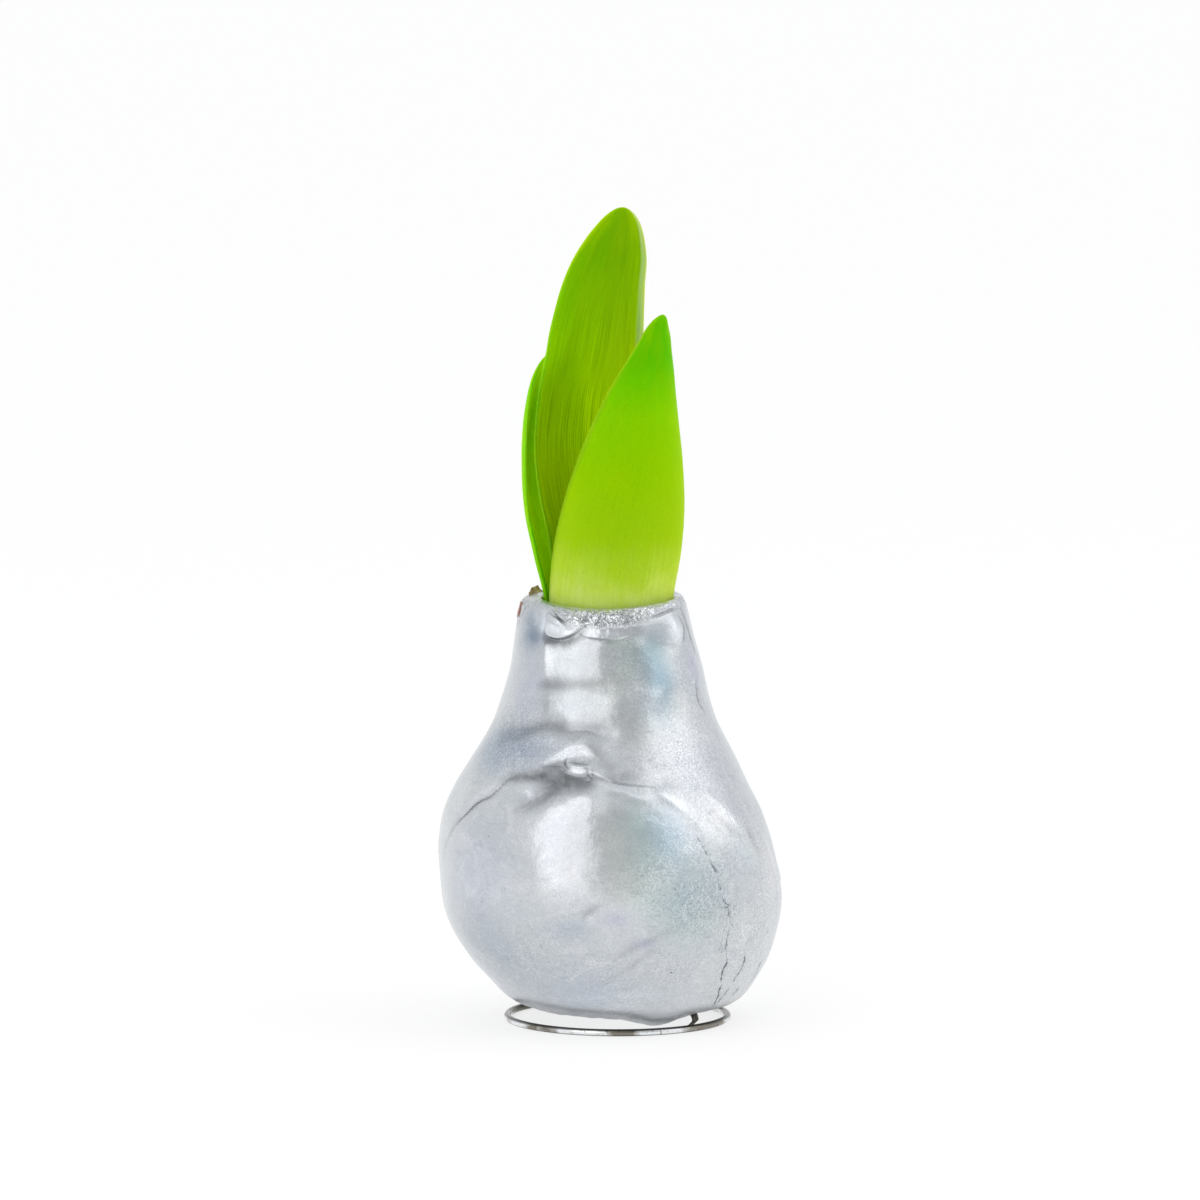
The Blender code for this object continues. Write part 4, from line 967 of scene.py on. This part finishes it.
class Skin:
    """The dipped skin as a grid, rows from inside the mouth to the base and columns round it."""

    def __init__(self):
        outline = [(i, *point) for i, point in enumerate(SKIN_OUTLINE)]

        def row_density(i):
            height = follow(outline, i)[..., 1]
            step = np.linalg.norm(np.gradient(follow(outline, i), i, axis=0), axis=-1)
            rim, overlap = (share * bell(height - middle, reach) for middle, reach, share in FINER_HEIGHTS)
            return step * (PLAIN_DENSITY + rim * (i > RIM_TOP - 1) + overlap)

        def column_density(azimuth):
            finer = (share * bell(turn_from(azimuth, at), reach) for at, reach, share in FINER_AZIMUTHS)
            return sum(finer, 1)

        rows = spread(0, len(outline) - 1, SKIN_ROWS, row_density)
        columns = spread(-180, 180, SKIN_COLUMNS + 1, column_density)[:-1]
        flat = follow(outline, rows)
        self.radius, self.height = flat[..., None, :].repeat(SKIN_COLUMNS, 1).transpose(2, 0, 1)
        self.azimuth = np.broadcast_to(columns, self.radius.shape)
        steps = np.linalg.norm(np.diff(flat, axis=0), axis=-1)
        self.down = np.concatenate([[0], np.cumsum(steps)])
        outside = rows > RIM_TOP
        self.heights_outside = flat[outside, 1][::-1]
        self.down_outside = self.down[outside][::-1]
        self.outside = blend(RIM_TOP - 0.6, RIM_TOP + 0.6, rows)[:, None]
        self.points = self.lopsided()
        self.normals = normals_of(self.points, True)
        if (self.normals[SKIN_ROWS // 2, :, :2] * self.points[SKIN_ROWS // 2, :, :2]).sum() < 0:
            self.normals = -self.normals

    def lopsided(self):
        """The turned skin's points at their places on the real, uneven one."""
        turn = np.radians(self.azimuth)
        z = self.height.copy()
        swell = 0.0
        for middle, height, out, breadth, half_height in SKIN_SWELLS:
            away = turn_from(self.azimuth, middle) / breadth
            swell = swell + out * np.exp(-(away**2) - ((z - height) / half_height) ** 2)
        lean = follow(SKIN_LEAN, z)[..., 0]
        neck = (SOCKET_X - lean) * (1 - blend(*RIM_RADII, self.radius))
        lean = lean + np.where(z > NECK_HEIGHT, neck, 0)
        radius = self.radius + swell * np.minimum(self.radius, 1)
        x, y = radius * np.cos(turn) + lean, radius * np.sin(turn)
        drip_x, drip_y, drip_down, drip_breadth = DRIP
        drip = bell(np.hypot(x - drip_x, y - drip_y), drip_breadth)
        z -= drip_down * drip * (1 - blend(*DRIP_FADE, z))
        dip_middle, dip_down, dip_breadth, dip_start, dip_full = MOUTH_DIP
        dip = bell(turn_from(self.azimuth, dip_middle), dip_breadth)
        z -= dip_down * dip * blend(dip_start, dip_full, z)
        return np.stack([x, y, z], -1)

    def down_at(self, height):
        """How far down along the skin from its start a height is."""
        return np.interp(height, self.heights_outside, self.down_outside)

    def offsets(self, azimuth, height):
        """Millimetres to the right of and above a place on the skin, for every point."""
        right = np.radians(turn_from(self.azimuth, azimuth)) * self.radius
        return right, self.down_at(height) - self.down[:, None]

    def blot(self, azimuth, height, half_breadth, half_height):
        """1 at a place on the skin, and less the further off."""
        right, up = self.offsets(azimuth, height)
        return np.exp(-((right / half_breadth) ** 2) - (up / half_height) ** 2)

    def stroke(self, rows):
        """The signed distance above the line through rows, and their further columns beside it."""
        table = np.array(rows, float)
        fine = np.linspace(0, len(table) - 1, 6 * len(table))
        table = follow(np.column_stack([np.arange(len(table)), table]), fine)
        best = np.full(self.radius.shape, np.inf)
        signed = np.zeros(self.radius.shape)
        values = np.zeros((*self.radius.shape, table.shape[1] - 2))
        for low, high in zip(table, table[1:]):
            right, up = self.offsets(low[0], low[1])
            far_right = np.radians(turn_from(high[0], low[0])) * self.radius
            far_up = self.down_at(low[1]) - self.down_at(high[1])
            length = np.maximum(far_right**2 + far_up**2, 1e-9)
            share = np.clip((right * far_right + up * far_up) / length, 0, 1)
            away = np.hypot(right - share * far_right, up - share * far_up)
            nearer = away < best
            side = np.sign(far_right * up - far_up * right)
            best = np.where(nearer, away, best)
            signed = np.where(nearer, away * side, signed)
            value = low[2:] + (high[2:] - low[2:]) * share[..., None]
            values = np.where(nearer[..., None], value, values)
        return signed, values

    def soft_stroke(self, rows, wander=0.0, power=2):
        """A line's first value, fading out on both sides over its second, and the signed distance."""
        signed, values = self.stroke(rows)
        signed = signed + wander
        return values[..., 0] * bell(signed, np.maximum(values[..., 1], NARROWEST), power), signed

    def lip(self, rows, rise, edge, fall):
        """An upper layer's edge: it stands out above the line and cuts in below."""
        signed, values = self.stroke(rows)
        wander = 0.22 * rough(self.points, 6, 3.1) + 0.06 * rough(self.points, 1.9, 8.7)
        signed = signed + wander
        above = blend(-edge, edge, signed)
        out = values[..., 0] * bell(np.maximum(signed, 0), rise) * above
        return out - values[..., 1] * np.exp(-np.maximum(-signed, 0) / fall) * (1 - above), signed

    def plate(self):
        """The thicker plate, highest at its edge and flattening out away from it."""
        signed, values = self.stroke(PLATE)
        flattened = np.clip(1 - np.maximum(signed, 0) / PLATE_WIDTH, 0, 1) ** 2
        return values[..., 0] * flattened * blend(-0.5, 0.3, signed)

    def cracks(self):
        """The signed distance to the nearest crack or pit, and its depth."""
        nearest, depth = np.full(self.radius.shape, LINE_REACH), np.zeros(self.radius.shape)
        for rows in CRACKS:
            signed, values = self.stroke(rows)
            closer = np.abs(signed) < np.abs(nearest)
            nearest, depth = np.where(closer, signed, nearest), np.where(closer, values[..., 0], depth)
        for azimuth, height in PITS:
            away = np.hypot(*self.offsets(azimuth, height))
            closer = away < np.abs(nearest)
            nearest, depth = np.where(closer, away, nearest), np.where(closer, PIT_DEPTH, depth)
        return nearest, depth

    def crumpled(self):
        """Where the rim is crumpled, down to a ragged edge, and how far its folds stand out."""
        edge = follow(CRUMPLE_EDGE, self.azimuth)[..., 0]
        ragged = self.height - edge + 0.7 * rough(self.points, 2.4, 4.8) + 0.4 * rough(self.points, 1, 6.3)
        crumple = blend(-0.9, 0.7, ragged) * self.outside
        skewed = self.points @ CRUMPLE_SKEW
        large = 1 - 2.2 * np.abs(rough(skewed, 1.5, 9.3))
        small = 1 - 2.2 * np.abs(rough(skewed, 0.8, 3.9))
        middle, breadth = CRUMPLE_FRONT
        front = 0.45 + 0.55 * bell(turn_from(self.azimuth, middle), breadth)
        return crumple, CRUMPLE_RISE * (large + 0.5 * small - 0.55) * crumple * front

    def creased_band(self, crumple):
        """The fine upright creases of the band just under the crumpled rim."""
        middle, breadth = CREASED_BAND
        band = bell(turn_from(self.azimuth, middle), breadth, 4) * blend(*CREASED_BAND_HEIGHTS, self.height)
        stretched = self.points * np.array([1, 1, 0.3])
        return CREASED_BAND_RISE * rough(stretched, 0.9, 2.7) * (band * (1 - crumple))

    def relief(self):
        """How far each point stands out from the plain skin, and the masks for the material."""
        out, from_overlap = self.lip(*LIPS[0])
        for settings in LIPS[1:]:
            out += self.lip(*settings)[0]
        out += self.plate()
        for rows in FOLDS:
            out += self.soft_stroke(rows)[0]
        for azimuth, height, far, breadth, half_height in LUMPS:
            out += far * self.blot(azimuth, height, breadth, half_height)
        nearest, depth = self.cracks()
        out -= depth * bell(nearest, CRACK_HALF_WIDTH)
        out += unevenness(self.points, *BROAD) + unevenness(self.points, *MIDDLING)
        out += unevenness(self.points, *FINE)
        low = 1 - blend(*LOWER_EDGE_HEIGHTS, self.height)
        out += unevenness(self.points, *LOWER_EDGE) * low * blend(*LOWER_EDGE_RADII, self.radius)
        crumple, folds = self.crumpled()
        out += folds
        out += self.creased_band(crumple)
        return out * self.outside, self.marks(crumple), self.creases(nearest, depth, from_overlap)

    def marks(self, crumple):
        """Where the silver is grainy, leathery and like foil, for the material."""
        middle, breadth = FOIL_FRONT
        foil = crumple * (0.25 + 0.75 * bell(turn_from(self.azimuth, middle), breadth, 4))
        grainy = np.full(self.radius.shape, PLAIN_GRAIN)
        for *place, share in GRAINY:
            grainy += share * self.blot(*place)
        return np.stack([np.clip(grainy, 0, 1), self.blot(*LEATHERY), foil, np.ones_like(foil)], -1)

    def creases(self, nearest, depth, from_overlap):
        """The distances to cracks and to the overlap, and how strongly the cracks and the overlap's painted
        shade and highlight are drawn, for the material.
        """
        drawn = follow(OVERLAP_LINE, self.azimuth)[..., 0]
        lines = np.clip(np.stack([nearest, from_overlap], -1) / (2 * LINE_REACH) + 0.5, 0, 1)
        return np.stack([lines[..., 0], np.clip(4.5 * depth, 0, 1), lines[..., 1], np.clip(drawn, 0, 1)], -1)

    def tint_and_painted_light(self):
        """The share of each colour that the sheen keeps: the tints of the silver, its painted shade and
        painted highlights, and a painted shade on the underside.
        """
        total = np.ones((*self.radius.shape, 4))
        # Tints, and painted shade and painted highlights in places
        for *place, shift in TINTS_AND_PAINTED_LIGHT:
            total[..., :3] += self.blot(*place)[..., None] * np.array(shift)
        # Painted shade and painted highlights along lines, and the scuffs
        for rows in PAINTED_SHADE_LIGHT_AND_SCUFFS:
            total[..., :3] += self.soft_stroke(rows)[0][..., None]
        # Painted shade, and a little painted highlight, on one side of a line
        wander = 0.10 * rough(self.points, 2.2, 3.7)
        for rows in PAINTED_EDGE_SHADES:
            share, signed = self.soft_stroke(rows, wander, 4)
            total[..., :3] += (share * blend(0.15, -0.15, signed))[..., None]
        # Painted shade on the underside, fading out above the base
        low = 1 - blend(*UNDERSIDE_HEIGHTS, self.height)
        under = low * blend(*UNDERSIDE_RADII, self.radius) * self.outside
        total[..., :3] -= UNDERSIDE_SHADE * under[..., None]
        return np.clip(total, *TINT_LIMITS)


def make_wax():
    """The skin as one mesh, closed at the middle of its base, with its masks as colour attributes."""
    skin = Skin()
    out, marks, creases = skin.relief()
    points = skin.points + skin.normals * out[..., None]
    faces = grid_faces(SKIN_ROWS, SKIN_COLUMNS, True)
    tip = SKIN_ROWS * SKIN_COLUMNS
    ring = [(SKIN_ROWS - 1) * SKIN_COLUMNS + c for c in range(SKIN_COLUMNS)]
    faces += [[a, tip, b] for a, b in zip(ring, ring[1:] + ring[:1])]
    middle = points[-1].mean(axis=0)
    flat = np.concatenate([points.reshape(-1, 3), [middle]])
    piece = new_piece("wax_skin", flat, faces, "wax_coat", wax_material())
    for name, values in (("marks", marks), ("creases", creases), ("tint_and_painted_light", skin.tint_and_painted_light())):
        layer = piece.data.color_attributes.new(name, "FLOAT_COLOR", "POINT")
        ready = np.concatenate([values.reshape(-1, 4), values[-1:, 0]])
        layer.data.foreach_set("color", ready.astype(np.float32).ravel())


def leaf_middle(rows, tip_rounding, across, along):
    """The middle surface of a leaf and its thickness: across runs from -1 to 1, along from 0 to 1."""
    low, high = rows[0][0], rows[-1][0]
    rounding = tip_rounding * (high - low)
    straight = (high - low - rounding) / (high - low - rounding + rounding * math.pi / 2)
    turn = np.radians(TIP_TURN) * np.clip((along - straight) / (1 - straight), 0, 1)
    height = low + (high - rounding - low) * np.minimum(along / straight, 1) + rounding * np.sin(turn)
    middle_x, middle_y, radius, rib, half_angle, thickness = np.moveaxis(follow(rows, height), -1, 0)
    angle = np.radians(rib + across * half_angle * np.cos(turn))
    place = np.stack([middle_x + radius * np.cos(angle), middle_y + radius * np.sin(angle), height], -1)
    return place, thickness


def make_leaf(name, rows, node, material, ruffle, tip_rounding):
    """A blade with two faces that meet in round margins, and veins raised along it."""
    side = np.sin(np.linspace(-math.pi / 2, math.pi / 2, LEAF_ACROSS))
    side = 0.75 * side + 0.25 * np.linspace(-1, 1, LEAF_ACROSS)
    along = spread(0, 1, LEAF_ALONG, lambda t: 1 + 1.5 * (t > 0.88) + 6 * (t > 0.965))
    across, along = np.meshgrid(side, along)
    middle, thickness = leaf_middle(rows, tip_rounding, across, along)
    normal = normals_of(middle, False)
    sway = ruffle * rough(middle * np.array([1, 1, 0.45]), 9, 4.1) * blend(108, 130, middle[..., 2])
    middle = middle + normal * sway[..., None]
    fall = 1 - (1 - MARGIN_THICKNESS) * np.abs(across) ** 3
    closing = np.sqrt(np.clip(1 - np.abs(across) ** MARGIN_POWER, 0, 1))
    round_off = closing * np.sqrt(np.clip((1 - along) / TIP_CLOSING, 0, 1))
    veins = VEIN_RISE * rough(np.stack([across * 26, along * 3, 0 * along], -1), 1, 2.5)
    half = 0.5 * thickness * fall * round_off
    lifted = normal * (half + veins * round_off)[..., None]
    faces = grid_faces(LEAF_ALONG, LEAF_ACROSS, False)
    faces += [face[::-1] for face in grid_faces(LEAF_ALONG, LEAF_ACROSS, False, LEAF_ACROSS * LEAF_ALONG)]
    points = np.concatenate([(middle + lifted).reshape(-1, 3), (middle - lifted).reshape(-1, 3)])
    piece = new_piece(name, points, faces, node, material)
    uv = np.stack([(across + 1) / 2, along], -1).reshape(-1, 2)
    uv = np.concatenate([uv, uv])
    corners = np.zeros(len(piece.data.loops), int)
    piece.data.loops.foreach_get("vertex_index", corners)
    layer = piece.data.uv_layers.new(name="blade")
    layer.data.foreach_set("uv", uv[corners].astype(np.float32).ravel())
    weld = piece.modifiers.new("Weld", "WELD")
    weld.merge_threshold = WELD * MM


def make_leaves():
    for name, rows, node, slot, ruffle, tip_rounding, looks in LEAVES:
        make_leaf(name, rows, node, leaf_material(slot, *looks), ruffle, tip_rounding)


def tube(route, radius, closed):
    """Points and faces of a round rod along a route of points."""
    route = np.array(route, float)
    turn = math.radians(RISER_AZIMUTH)
    if closed:
        tangent = np.roll(route, -1, 0) - np.roll(route, 1, 0)
        first = np.broadcast_to([0.0, 0, 1], route.shape)
    else:
        tangent = np.gradient(route, axis=0)
        first = np.broadcast_to([-math.sin(turn), math.cos(turn), 0], route.shape)
    tangent /= np.linalg.norm(tangent, axis=-1, keepdims=True)
    second = np.cross(tangent, first)
    turn = np.linspace(0, 2 * math.pi, WIRE_SIDES, endpoint=False)
    ring = first[:, None] * np.cos(turn)[:, None] + second[:, None] * np.sin(turn)[:, None]
    points = route[:, None] + radius * ring
    faces = grid_faces(len(route), WIRE_SIDES, True)
    last = (len(route) - 1) * WIRE_SIDES
    sides = range(WIRE_SIDES)
    if closed:
        faces += [[last + s, s, (s + 1) % WIRE_SIDES, last + (s + 1) % WIRE_SIDES] for s in sides]
    else:
        faces += [list(sides)[::-1], [last + s for s in sides]]
    return points.reshape(-1, 3), faces


def make_stand():
    """The wire ring on the ground, and its end turned up into the wax."""
    # The part's wire has few sides and stands on a flat one, which lies a little nearer its middle
    lift = WIRE / 2 * math.cos(math.pi / PART_WIRE_SIDES)
    ring = [
        (RING_X + RING_RADIUS * math.cos(t), RING_RADIUS * math.sin(t), lift)
        for t in np.linspace(0, 2 * math.pi, RING_STEPS, endpoint=False)
    ]
    ring_points, faces = tube(ring, WIRE / 2, True)
    turn = math.radians(RISER_AZIMUTH)
    out = np.array([math.cos(turn), math.sin(turn), 0])
    foot = np.array([RING_X, 0, 0]) + out * RING_RADIUS
    route = []
    for share in np.linspace(0, 1, RISER_STEPS):
        a = math.radians(RISER_START + (RISER_AZIMUTH - RISER_START) * share)
        rise = lift + (STRUT_HEIGHT - WIRE_BEND - lift) * share**1.5
        route.append(np.array([RING_X + RING_RADIUS * math.cos(a), RING_RADIUS * math.sin(a), rise]))
    centre = foot - out * WIRE_BEND + np.array([0, 0, STRUT_HEIGHT - WIRE_BEND])
    for bend in np.linspace(0, math.pi / 2, BEND_STEPS)[1:]:
        route.append(centre + WIRE_BEND * (out * math.cos(bend) + np.array([0, 0, math.sin(bend)])))
    route += [centre + (0, 0, WIRE_BEND) - out * step for step in RISER_TAIL]
    riser_points, riser_faces = tube(route, WIRE / 2 - RISER_THINNING, False)
    faces += [[corner + len(ring_points) for corner in face] for face in riser_faces]
    points = np.concatenate([ring_points, riser_points])
    new_piece("wire_ring", points, faces, "wire_stand", chrome_material())


def torn_wall(azimuth, turn):
    """The wall of tunic, up its outer face and down its inner one."""
    around = directions(turn) * 18
    edge = WALL_EDGE + 0.7 * rough(around, 3.2, 1.3) + 0.5 * rough(around, 1.1, 5.3)
    dip_middle, dip_down, dip_breadth = WALL_DIP
    edge -= dip_down * bell(turn_from(azimuth, dip_middle), dip_breadth, 4)
    for middle, rise, breadth in WALL_POINTS:
        edge += rise * bell(turn_from(azimuth, middle), breadth)
    share = np.linspace(0, 1, WALL_ROWS)[:, None]
    height = WALL_FOOT + (edge[None] - WALL_FOOT) * share
    outer = np.interp(turn_from(azimuth, FLARE_MIDDLE), *zip(*FLARE))
    radius = WALL_RADIUS + (outer[None] - WALL_RADIUS) * blend(0.75, 1, share)
    points = np.stack([SOCKET_X + radius * np.cos(turn), radius * np.sin(turn), height], -1)
    radius = radius + 0.22 * rough(points * np.array([1, 1, 0.5]), 1.6, 6.1) * blend(0.4, 1, share)
    points = np.stack([SOCKET_X + radius * np.cos(turn), radius * np.sin(turn), height], -1)
    inward = points.copy()
    inner = ((radius - WALL_THICKNESS) / radius)[..., None]
    inward[..., :2] = np.array([SOCKET_X, 0]) + (inward[..., :2] - (SOCKET_X, 0)) * inner
    return points, inward[::-1]


def flesh_bowl(turn):
    """The flesh from the wall to the middle."""
    outline = [(i, *place) for i, place in enumerate(BOWL)]
    table = follow(outline, np.linspace(0, len(BOWL) - 1, BOWL_ROWS))
    radius, height = table[:, :1], np.broadcast_to(table[:, 1:], (BOWL_ROWS, NECK_COLUMNS))
    return np.stack([SOCKET_X + radius * np.cos(turn), radius * np.sin(turn), height], -1)


def tunic_flake(start):
    """A small flake of tunic outside the rim: its points, and faces that count from start."""
    low, high = FLAKE_AZIMUTHS
    turn = np.radians(np.concatenate([
        np.linspace(low, high, FLAKE_COLUMNS), np.linspace(high, low, FLAKE_COLUMNS),
    ]))
    around = directions(turn) * 18
    bottom, top = FLAKE_HEIGHTS
    bottom = bottom + 1.8 * rough(around, 1.8, 7.7)
    top = top + 0.9 * rough(around, 1.6, 2.1)
    height = bottom + (top - bottom) * np.linspace(0, 1, FLAKE_ROWS)[:, None]
    radius = np.interp(height, *zip(*FLAKE_RADII)) + np.repeat(FLAKE_FACES, FLAKE_COLUMNS)
    points = np.stack([FLAKE_X + radius * np.cos(turn), radius * np.sin(turn), height], -1)
    sides = range(2 * FLAKE_COLUMNS)
    last = start + (FLAKE_ROWS - 1) * len(sides)
    faces = grid_faces(FLAKE_ROWS, len(sides), True, start)
    return points.reshape(-1, 3), faces + [[start + i for i in sides][::-1], [last + i for i in sides]]


def make_bulb_neck():
    """What shows of the bulb in the mouth of the wax: torn tunic round it and pale flesh down inside."""
    azimuth = np.linspace(-180, 180, NECK_COLUMNS, endpoint=False)
    turn = np.radians(azimuth)
    grid = np.concatenate([*torn_wall(azimuth, turn), flesh_bowl(turn)])
    faces = grid_faces(len(grid), NECK_COLUMNS, True)
    flake, flake_faces = tunic_flake(len(grid) * NECK_COLUMNS)
    points = np.concatenate([grid.reshape(-1, 3), flake])
    piece = new_piece("tunic", points, faces + flake_faces, "bulb", tunic_material())
    flesh = np.zeros(len(points), np.float32)
    flesh[2 * WALL_ROWS * NECK_COLUMNS:len(grid) * NECK_COLUMNS] = 1
    piece.data.attributes.new("flesh", "FLOAT", "POINT").data.foreach_set("value", flesh)


def make_floor():
    """A pale floor with a little glow, so that it stays near white."""
    m = Nodes("floor")
    m.shader.inputs["Base Color"].default_value = (FLOOR_GREY, FLOOR_GREY, FLOOR_GREY, 1)
    m.shader.inputs["Emission Color"].default_value = (1, 1, 1, 1)
    m.shader.inputs["Emission Strength"].default_value = FLOOR_GLOW
    m.shader.inputs["Roughness"].default_value = 0.9
    m.shader.inputs["Specular IOR Level"].default_value = 0.0
    bpy.ops.mesh.primitive_plane_add(size=FLOOR_METRES)
    floor = bpy.context.object
    floor.name = "floor"
    floor.data.materials.append(m.material)


def make_world():
    """White all round, with a greyer part of the room behind the camera."""
    world = bpy.data.worlds.new("studio")
    bpy.context.scene.world = world
    world.use_nodes = True
    tree = world.node_tree
    sky = tree.nodes["Background"]
    where = tree.nodes.new("ShaderNodeTexCoord")
    facing = tree.nodes.new("ShaderNodeVectorMath")
    facing.operation = "DOT_PRODUCT"
    facing.inputs[1].default_value = Vector(GREY_TOWARDS).normalized()
    tree.links.new(where.outputs["Generated"], facing.inputs[0])
    shade = tree.nodes.new("ShaderNodeMapRange")
    shade.interpolation_type = "SMOOTHSTEP"
    for socket, value in zip(shade.inputs[1:5], (GREY_FROM, GREY_FULL, WHITE_STRENGTH, GREY_STRENGTH)):
        socket.default_value = value
    tree.links.new(facing.outputs["Value"], shade.inputs[0])
    tree.links.new(shade.outputs[0], sky.inputs["Strength"])
    sky.inputs["Color"].default_value = (*SKY, 1)


def make_light(name, azimuth, elevation, distance, wide, tall, power, colour):
    """A soft box that faces the middle of the bulb."""
    light = bpy.data.lights.new(name, "AREA")
    light.shape = "RECTANGLE"
    light.size, light.size_y = wide, tall
    light.energy = power
    light.color = colour
    lamp = bpy.data.objects.new(name, light)
    bpy.context.scene.collection.objects.link(lamp)
    a, e = math.radians(azimuth), math.radians(elevation)
    out = Vector((math.cos(a) * math.cos(e), math.sin(a) * math.cos(e), math.sin(e)))
    lamp.location = Vector((0, 0, LIT_HEIGHT * MM)) + out * distance
    lamp.rotation_euler = out.to_track_quat("Z", "Y").to_euler()


def make_camera():
    data = bpy.data.cameras.new("camera")
    eye, target = Vector(EYE) * MM, Vector(TARGET) * MM
    data.sensor_width = SENSOR
    data.lens = SENSOR * (eye - target).length / (FIELD * MM)
    data.clip_end = FAR_CLIP
    camera = bpy.data.objects.new("camera", data)
    bpy.context.scene.collection.objects.link(camera)
    camera.location = eye
    camera.rotation_euler = (eye - target).to_track_quat("Z", "Y").to_euler()
    bpy.context.scene.camera = camera


make_camera()
make_world()
for settings in LIGHTS:
    make_light(*settings)
make_floor()
make_wax()
make_leaves()
make_stand()
make_bulb_neck()
bpy.context.scene.view_settings.view_transform = "Standard"
